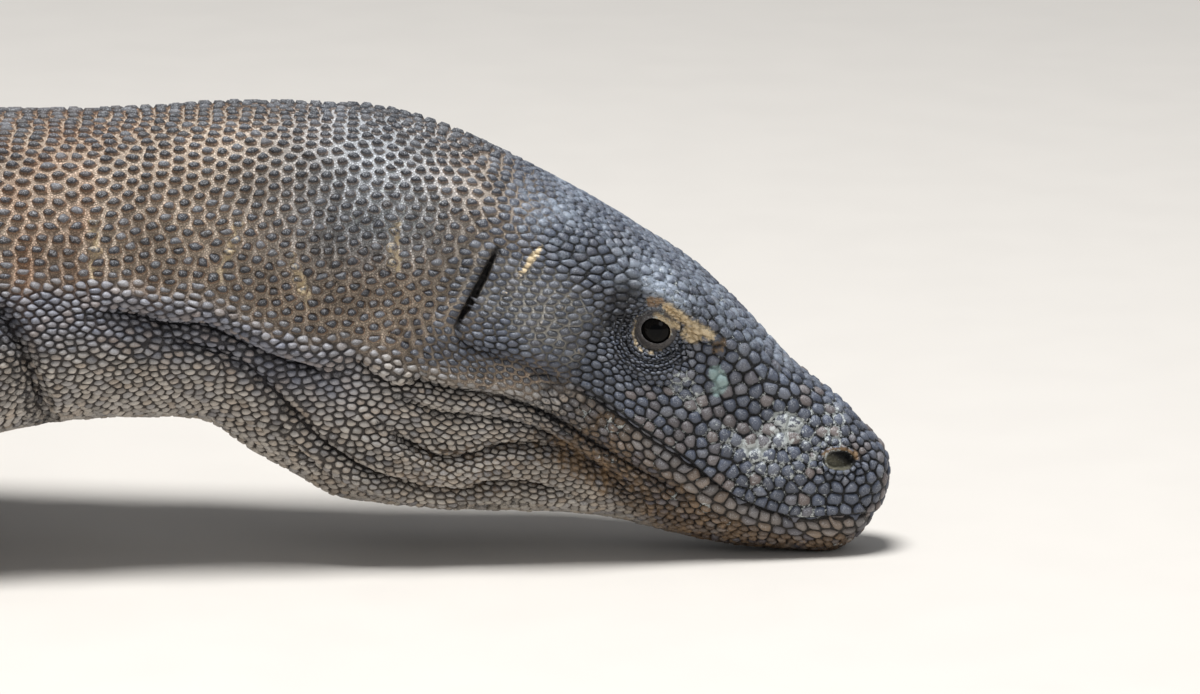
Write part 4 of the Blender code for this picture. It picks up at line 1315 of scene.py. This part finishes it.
class Shader:
    """Short words for making and joining shader nodes."""

    def __init__(self, name):
        self.material = bpy.data.materials.new(name)
        self.material.use_nodes = True
        self.tree = self.material.node_tree
        self.surface = self.tree.nodes["Principled BSDF"]
        self.place = self.tree.nodes.new("ShaderNodeTexCoord").outputs["Object"]

    def put(self, value, socket):
        if isinstance(value, bpy.types.NodeSocket):
            self.tree.links.new(value, socket)
        else:
            socket.default_value = value

    def math(self, operation, *values):
        made = self.tree.nodes.new("ShaderNodeMath")
        made.operation = operation
        for value, socket in zip(values, made.inputs):
            self.put(value, socket)
        return made.outputs[0]

    def times(self, *values):
        return self.math("MULTIPLY", *values)

    def plus(self, *values):
        return self.math("ADD", *values)

    def grain(self, value, strength):
        """A noise about zero."""
        return self.times(self.math("SUBTRACT", value, 0.5), strength)

    def mix(self, share, first, second, kind="MIX"):
        made = self.tree.nodes.new("ShaderNodeMix")
        made.data_type, made.blend_type = "RGBA", kind
        for value, socket in zip((share, first, second), (made.inputs[i] for i in (0, 6, 7))):
            self.put(value, socket)
        return made.outputs[2]

    def tint(self, share, under, red, green, blue, kind="MIX"):
        return self.mix(share, under, linear(red, green, blue), kind)

    def read(self, name):
        made = self.tree.nodes.new("ShaderNodeAttribute")
        made.attribute_name = name
        return made.outputs["Fac"]

    def noise(self, size, detail=3.0, rough=0.55):
        made = self.tree.nodes.new("ShaderNodeTexNoise")
        made.inputs["Scale"].default_value = 1 / size
        made.inputs["Detail"].default_value, made.inputs["Roughness"].default_value = detail, rough
        self.tree.links.new(self.place, made.inputs["Vector"])
        return made.outputs["Fac"]

    def span(self, value, low, high, to_low=0.0, to_high=1.0):
        made = self.tree.nodes.new("ShaderNodeMapRange")
        made.interpolation_type = "SMOOTHSTEP"
        for given, socket in zip((value, low, high, to_low, to_high), made.inputs):
            self.put(given, socket)
        return made.outputs[0]

    def bump(self, height, distance, strength=1.0, after=None):
        made = self.tree.nodes.new("ShaderNodeBump")
        made.inputs["Distance"].default_value, made.inputs["Strength"].default_value = distance, strength
        self.tree.links.new(height, made.inputs["Height"])
        if after:
            self.tree.links.new(after, made.inputs["Normal"])
        return made.outputs[0]

    def finish(self, colour, **given):
        """The material, with its colour and the values of the named sockets."""
        for socket, value in {"Base Color": colour, **given}.items():
            self.put(value, self.surface.inputs[socket.replace("_", " ")])
        return self.material


print("mid grey is", round(linear(128, 128, 128)[0], 3), "to the shader")

# %% The hide's colours
# Each part: the mask, the colour in the groove and the colour on the crown
PARTS = (("low", (70, 64, 60), (186, 178, 168)), ("slate", (60, 59, 64), (132, 132, 140)),
         ("body", (78, 68, 58), (116, 112, 106)), ("belly", (112, 100, 84), (154, 144, 128)),
         ("legs", (60, 53, 47), (132, 126, 116)), ("nape", (204, 209, 214), (30, 34, 42)),
         ("head", (14, 15, 19), (75, 81, 95)), ("temple", (176, 172, 164), (58, 60, 65)),
         ("jaw", (23, 15, 9), (88, 69, 49)), ("lid", (96, 92, 91), (112, 108, 107)),
         # The last part is the lower inside of the nostril, painted pale as if lit from above.
         ("lit_nostril_floor", (128, 124, 106), (128, 124, 106)))
# The fourth colour is a painted shade, laid on the lower walls of the beads.
NECK_GROOVE, NECK_CROWN, CRACK, FLANK_SHADE = (212, 194, 174), (31, 31, 34), (62, 49, 40), (164, 140, 120)
RUST_GROOVE, RUST_CROWN = (172, 126, 90), (96, 70, 52)
PALE_SCALE, DARK_SCALE, BROWN_SCALE, BLUE_SCALE = (146, 148, 154), (44, 44, 50), (150, 124, 96), (84, 92, 112)
# The first is the colour of worn tips, which also serves as a painted highlight on the upper side of the
# crowns.
WORN_AND_LIT_TIP, FLAKE = (204, 206, 210), (204, 209, 207)
# Markings, laid over in this order: the mask and the colour. Dark is partly painted shade, in the folds
# and the ear slit, and pale is partly a painted bluish sky sheen on the top of the head.
MARKINGS = (("pale", (142, 151, 163)), ("dark", (26, 25, 28)), ("ochre", (138, 112, 82)),
            ("cream", (224, 202, 164)), ("mint", (146, 168, 166)))
GRANULE = 1.15 * MM
print("parts", len(PARTS), "markings", len(MARKINGS))


# %% The hide
def grooves_and_crowns(s, odd, blotch, pebble, beads):
    """The two colours of a scale, before the markings."""
    groove, crown = linear(*NECK_GROOVE), linear(*NECK_CROWN)
    for mask, low, top in PARTS:
        share = s.read(mask)
        groove, crown = s.tint(share, groove, *low), s.tint(share, crown, *top)
    warm = s.times(s.read("warm"), s.span(blotch, 0.35, 0.65, 0.35, 1.0))
    groove = s.tint(warm, groove, *RUST_GROOVE)
    crown = s.tint(s.times(warm, 0.45), crown, *RUST_CROWN)
    groove = s.tint(s.times(s.span(pebble, 0.0, 1.0, 0.48, 0.0), beads), groove, *CRACK)
    crown = s.tint(s.span(odd, 0.6, 1.0, 0.0, 0.28), crown, *PALE_SCALE)
    crown = s.tint(s.span(odd, 0.45, 0.0, 0.0, 0.45), crown, *DARK_SCALE)
    hue = s.math("FRACT", s.times(odd, 7.0))
    varied = s.span(s.read("low"), 0.0, 1.0, 0.15, 1.0)
    crown = s.tint(s.times(s.span(hue, 0.6, 1.0, 0.0, 0.34), varied), crown, *BROWN_SCALE)
    return groove, s.tint(s.times(s.span(hue, 0.4, 0.0, 0.0, 0.34), varied), crown, *BLUE_SCALE)


def hide_finish():
    s = Shader("hide")
    level, beads, flaky = s.read("level"), s.read("beads"), s.read("flaky")
    grain, fine, blotch = s.noise(1.6 * MM), s.noise(0.5 * MM, 2.0), s.noise(26 * MM)
    granules = s.tree.nodes.new("ShaderNodeTexVoronoi")
    granules.feature = "DISTANCE_TO_EDGE"
    granules.inputs["Scale"].default_value = 1 / GRANULE
    s.put(s.place, granules.inputs["Vector"])
    pebble = s.span(granules.outputs["Distance"], 0.02, 0.25)
    groove, crown = grooves_and_crowns(s, s.read("odd"), blotch, pebble, beads)

    # The height on the scale decides between groove and crown. The upper side of each scale counts as higher:
    # on the dark-capped beads this keeps pale dust low, and on scales with pale crowns it is a painted top
    # light.
    # The tips are worn pale, and the painted top light puts most of them on the upper side.
    dust_and_top_light = s.times(s.read("high"), s.span(beads, 0.0, 1.0, 0.5, 0.9))
    height = s.plus(s.plus(level, dust_and_top_light), s.grain(grain, 0.6))
    # Painted shade: brown on the lower wall of each bead, below its cap, with a pale line left in the groove
    # itself.
    groove = s.tint(s.times(s.span(height, 0.04, 0.34), s.times(beads, 0.8)), groove, *FLANK_SHADE, "MULTIPLY")
    starts, ends = s.span(beads, 0, 1, 0.1, 0.42), s.span(beads, 0, 1, 0.66, 0.9)
    colour = s.mix(s.span(height, starts, ends), groove, crown)
    worn_and_lit_tips = s.times(s.span(height, 0.8, 1.25), s.span(fine, 0.4, 0.72, 0.0, 0.85))
    colour = s.tint(s.times(worn_and_lit_tips, 0.5), colour, *WORN_AND_LIT_TIP)

    ragged = s.math("SUBTRACT", s.noise(3.0 * MM, 5.0, 0.7), 0.5)
    for mask, colour_of_mask in MARKINGS:
        share = s.read(mask)
        cover = s.plus(share, s.times(s.times(ragged, 2.4), s.span(share, 0.0, 0.35)))
        colour = s.tint(s.span(cover, 0.15, 0.95, 0.0, 0.92), colour, *colour_of_mask)
    flakes = s.plus(s.times(flaky, 0.26), s.noise(2.6 * MM, 5.0, 0.75))
    flakes = s.math("SUBTRACT", flakes, s.grain(height, 0.1))
    flakes = s.times(s.span(flakes, 0.67, 0.75), s.span(flaky, 0.02, 0.15))
    colour = s.tint(s.times(flakes, 0.85), colour, *FLAKE)

    tone = s.plus(s.times(blotch, 0.6), s.times(s.read("mottle"), 0.4))
    tone = s.plus(s.span(tone, 0.25, 0.75, 0.76, 1.2), s.grain(fine, 0.55))
    grey = s.tree.nodes.new("ShaderNodeCombineColor")
    for socket in grey.inputs[:3]:
        s.put(tone, socket)
    colour = s.mix(1.0, colour, grey.outputs[0], "MULTIPLY")
    matt = s.plus(s.times(flakes, 0.3), s.times(beads, 0.25))
    pebbled = s.bump(s.times(pebble, s.span(level, 0.7, 0.2)), 0.6 * MM, 0.8)
    relief = s.bump(fine, 0.16 * MM, 0.8, s.bump(grain, 0.4 * MM, 0.6, pebbled))
    return s.finish(colour, Roughness=s.span(s.plus(grain, matt), 0.3, 0.95, 0.36, 0.74),
                    Specular_IOR_Level=0.5, Normal=relief)


HIDE = hide_finish()
print("hide nodes", len(HIDE.node_tree.nodes))

# %% [markdown]
# ## Dressing the body
#
# Each group of scales is one piece, small enough to export well. Its OFBake map puts every scale as
# a small patch on an unwrapping of the skin: the part is rolled out round its own long axis.

# %% The bake map
PATCH = 0.003  # the size of one scale's patch on the map
BANDS = 12  # a bent limb is centred anew in each band of its length


def rolled_out(points):
    """Unwrap of a limb or trunk: distance along its long axis, and angle round it, both 0 to 1."""
    from_middle = points - points.mean(0)
    along, p, q = (from_middle @ np.linalg.svd(from_middle, full_matrices=False)[2].T).T
    along = (along - along.min()) / max(np.ptp(along), 1e-9)
    bands = np.minimum((along * BANDS).astype(int), BANDS - 1)
    for band in np.unique(bands):
        for across in (p, q):
            inside = across[bands == band]
            across[bands == band] -= (inside.min() + inside.max()) / 2
    return np.stack([along, np.arctan2(q, p) / (2 * math.pi) + 0.5], 1)


def add_bake_map(mesh, owner, corner, parts):
    """OFBake: each scale's patch at its root's place; each part of the body has its own strip."""
    roots = np.zeros((len(seeds), 2))
    for row, chosen in enumerate(parts):
        unrolled = rolled_out(seeds[chosen])
        roots[chosen] = [0.02, (row + 0.03) / len(parts)] + unrolled * [0.96, 0.94 / len(parts)]
    d = get_points(mesh)[corner] - seeds[owner]
    flat = np.stack([(d * seed_back[owner]).sum(1), (d * seed_round[owner]).sum(1)], 1)
    placed = roots[owner] + flat / seed_spacing[owner][:, None] * PATCH
    mesh.uv_layers.new(name="OFBake").data.foreach_set("uv", placed.astype(np.float32).ravel())


print("a patch on the map is", PATCH, "wide")


# %% One coat of scales
# On the face these masks change within a scale; elsewhere every mask is the seed's own
MADE_FINE = ("cream", "mint", "flaky", "ochre", "lid", "lit_nostril_floor", "dark")
SEED_ODD = RANDOM.random(len(seeds))
SEED_SIZE = 1 - 0.1 * RANDOM.random(len(seeds)) * (seed_zone >= ZONES.index("neck"))
SEED_TALL = 0.8 + 0.35 * RANDOM.random(len(seeds))


def numbers(items, what):
    flat = np.empty(len(items), np.int32)
    items.foreach_get(what, flat)
    return flat


def piece(name, mesh, slot, *replaced):
    made = linked(name, mesh)
    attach(made, "root")
    if replaced:
        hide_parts(*replaced)


def coat(name, parts, fill, cut, shape, fine_masks=False, squash=(1.0, 1.0)):
    """One piece of scales from the seeds of some parts of the body."""
    chosen = np.sort(np.concatenate(parts))
    mesh = raised(name, chosen, np.ones(len(seeds)) * fill, cut, shape, HIDE, squash)
    scale, count = numbers(mesh.attributes["scale"].data, "value"), numbers(mesh.polygons, "loop_total")
    corner = numbers(mesh.loops, "vertex_index")
    add_bake_map(mesh, np.repeat(scale, count), corner, parts)
    owner = np.zeros(len(mesh.vertices), np.int32)
    owner[corner] = np.repeat(scale, count)
    points = get_points(mesh)
    here = masks(points, seed_zone[owner]) if fine_masks else {}
    for mask, values in seed_masks.items():
        add_attribute(mesh, mask, here[mask] if mask in MADE_FINE and here else values[owner])
    add_attribute(mesh, "odd", SEED_ODD[owner])
    # high says how far up its scale a point lies; the finish reads it for the painted top light and for pale
    # dust kept low on the beads.
    above = (points[:, 2] - seeds[owner, 2]) * np.sqrt(seed_stretch[owner]) / seed_spacing[owner]
    add_attribute(mesh, "high", np.clip(above, -0.6, 0.6))
    for spent in ("rise", "scale"):
        mesh.attributes.remove(mesh.attributes[spent])
    piece(name, mesh, "hide")
    print(name, len(chosen), "scales,", int((count - 2).sum()), "triangles")


is_scale = (kind != 0) & np.array([len(o) > 2 for o in outlines])
print("scales", is_scale.sum())


# %% The coats
def chosen_by(zone, *tests):
    return np.flatnonzero(np.all([is_scale, among(seed_zone, zone), *tests], axis=0))


# Height of the shoulder, and the sizes of shoulder and crown, as shares
LOW, DOME, BEAD = (0.62, 0.9, 0.62), (0.52, 0.86, 0.58), (0.52, 0.8, 0.6)
# How much of its cell a scale fills, and how far its corners are cut
FACE = (0.93 - 0.04 * ramp(head_view(seeds)[1], -0.022, -0.034), 0.18, DOME, True)
BEADS, LOW_NECK, TRUNK, LIMB = (0.84, 0.22, BEAD), (0.89, 0.2, DOME), (0.86, 0, DOME), (0.88, 0, LOW)
is_low = seed_masks["low"] > 0.5
left, front, tail_base = seeds[:, 1] > AXIS_START[1], seeds[:, 0] > 0.0, seeds[:, 0] > -1.0

coat("scales_jaw", [chosen_by("lower_jaw")], *FACE)
for side, test in (("left", left), ("right", ~left)):
    coat("scales_head_" + side, [chosen_by("head", test)], *FACE)
    coat("beads_neck_" + side, [chosen_by("neck", test, ~is_low)], *BEADS, squash=(1.06, 0.9))
    coat("scales_neck_" + side, [chosen_by("neck", test, is_low)], *LOW_NECK)
    for end, part in (("front", front), ("rear", ~front)):
        coat(f"scales_trunk_{side}_{end}", [chosen_by("trunk", test, part)], *TRUNK)
    for limb, part in (("foreleg", front), ("hindleg", ~front)):
        coat(f"scales_{limb}_{side}", [chosen_by(zone, test, part) for zone in ZONES[-3:]], *LIMB)
for end, part in (("base", tail_base), ("tip", ~tail_base)):
    coat("scales_tail_" + end, [chosen_by("tail", part)], *LIMB)
print("seeds that grew a scale", is_scale.mean().round(3))


# %% The skin under them
def painted(mesh, finish):
    """The mesh, shaded smooth and with one finish."""
    mesh.polygons.foreach_set("use_smooth", np.ones(len(mesh.polygons), bool))
    mesh.materials.clear()
    mesh.materials.append(finish)
    return mesh


whole_skin = np.ones(len(skin_points))
skin_values = {"level": 0.0 * whole_skin, "odd": 0.5 * whole_skin, "high": 0.0 * whole_skin}
for mask, values in (masks(skin_points, skin_zones, False) | skin_values).items():
    add_attribute(skin_mesh, mask, values)
piece("skin", painted(skin_mesh, HIDE), "hide", *FLESH)
print("skin replaces", len(FLESH), "nodes")

# %% [markdown]
# ## Eyes
#
# Each eye is a ball, smooth enough for its wet gloss. The iris is a very dark brown ring round the
# pupil, and the clear coat carries the highlight.

# %% Eyeballs
def eye_finish():
    s = Shader("eye")
    from_middle = s.read("from_pupil")
    iris = s.mix(s.span(s.noise(0.7 * MM, 2.0), 0.3, 0.7), linear(6, 5, 5), linear(13, 10, 8))
    colour = s.mix(s.span(from_middle, 2.6 * MM, 3.1 * MM), linear(3, 3, 4), iris)
    colour = s.tint(s.span(from_middle, 4.9 * MM, 6.0 * MM), colour, 8, 7, 7)
    return s.finish(colour, Roughness=0.35, Specular_IOR_Level=0.0,
                    Coat_Weight=0.32, Coat_IOR=1.38, Coat_Roughness=0.03)


EYE = eye_finish()
for name in EYE_NODES:
    side = 1 if name.endswith("left") else -1
    centre = Vector(from_head_view(*(np.array([v]) for v in (EYE_U, EYE_N, side * EYE_DEEP)))[0])
    mesh = bpy.data.meshes.new("ball_" + name)
    with edited(mesh) as ball:
        bmesh.ops.create_uvsphere(ball, u_segments=64, v_segments=40, radius=EYE_BALL,
                                  matrix=Matrix.Translation(centre) @ Matrix.Rotation(math.pi / 2, 4, "X"))
    mesh = in_fixed_order(mesh)
    points = get_points(mesh) - centre
    from_pupil = np.where(points[:, 1] * side > 0, np.hypot(points[:, 0], points[:, 2]), EYE_BALL)
    add_attribute(mesh, "from_pupil", from_pupil)
    piece("ball_" + name, painted(mesh, EYE), "eye", name)
print("eyes", EYE_NODES)

# %% [markdown]
# ## Claws
#
# A claw's solid already has its curve and point. A merged copy with two rounds of subdivision takes
# the facets off, and the horn gets lengthwise grain, a dark root and a worn paler tip.

# %% Claws of horn
def claw_finish():
    s = Shader("horn")
    streaks = s.noise(0.8 * MM, 3.0)
    colour = s.mix(s.span(s.read("along"), 0.1, 0.9), linear(44, 38, 34), linear(112, 98, 80))
    colour = s.tint(s.span(streaks, 0.35, 0.7, 0.0, 0.5), colour, 30, 26, 24)
    return s.finish(colour, Roughness=s.span(streaks, 0.3, 0.7, 0.3, 0.5),
                    Normal=s.bump(streaks, 0.2 * MM, 0.4))


HORN = claw_finish()
for name in CLAW_NODES:
    mesh = NODES[name].data.copy()
    with edited(mesh) as shape:
        welded(shape)
        bmesh.ops.dissolve_limit(shape, angle_limit=0.01, verts=shape.verts, edges=shape.edges)
    made = linked("horn", mesh)
    rounder = made.modifiers.new("round", "SUBSURF")
    rounder.levels = rounder.render_levels = 2
    mesh = evaluated(made)
    foot = next(f for f in FOOT_NODES if name.startswith(f[:-len("_foot")]))
    heel = np.array(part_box(foot)[0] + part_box(foot)[1]) / 2
    far = np.linalg.norm(get_points(mesh) - heel, axis=1)
    add_attribute(mesh, "along", (far - far.min()) / np.ptp(far))
    piece("horn_" + name, painted(mesh, HORN), "claw_horn", name)
print("claws", len(CLAW_NODES))

# %% [markdown]
# ## Floor, light and camera
#
# A plain pale floor, a large soft light overhead with a weaker one in front, and a long lens from the
# animal's right, low and level with its head.

# %% The floor
paint = Shader("floor paint")
paint.finish(linear(214, 208, 200), Roughness=paint.span(paint.noise(0.05), 0.3, 0.7, 0.65, 0.75))
mesh = bpy.data.meshes.new("floor")
with edited(mesh) as ground:
    bmesh.ops.create_grid(ground, x_segments=1, y_segments=1, size=8.0)
mesh.materials.append(paint.material)
linked("floor", mesh)
print("floor", mesh.name)

# %% Light and camera
FRAME_WIDTH = 0.5256  # of the picture, at the distance of the point aimed at
DISTANCE, LENS_HEIGHT = 3.5, math.radians(12)


def soft_light(name, place, target, size, power, colour=(1, 1, 1)):
    lamp = bpy.data.lights.new(name, "AREA")
    lamp.shape, lamp.size, lamp.energy, lamp.color = "DISK", size, power, colour
    made = linked(name, lamp)
    made.location = place
    made.rotation_euler = (Vector(target) - Vector(place)).to_track_quat("-Z", "Y").to_euler()


aim = Vector((HEAD_HIGH.x - 0.1278, 0.0205, 0.0869))  # what the middle of the picture shows
soft_light("overhead", (aim.x - 0.3, -0.6, 3.2), aim - Vector((0.3, 0, 0)), 1.3, 152, (0.97, 0.985, 1.0))
soft_light("front", (aim.x + 1.8, -3.2, 1.9), aim, 1.6, 12, (0.94, 0.97, 1.0))
world = bpy.data.worlds.new("room")
bpy.context.scene.world = world
world.use_nodes = True
world.node_tree.nodes["Background"].inputs["Color"].default_value = (0.9, 0.94, 1.0, 1)
world.node_tree.nodes["Background"].inputs["Strength"].default_value = 0.27
lens = bpy.data.cameras.new("camera")
lens.sensor_width, lens.lens = 36, 36 * DISTANCE / FRAME_WIDTH
camera = linked("camera", lens)
camera.location = aim + DISTANCE * Vector((0, -math.cos(LENS_HEIGHT), math.sin(LENS_HEIGHT)))
camera.rotation_euler = (aim - camera.location).to_track_quat("-Z", "Y").to_euler()
bpy.context.scene.camera = camera
bpy.context.scene.view_settings.view_transform = "Standard"
print("lens", round(lens.lens), "mm")
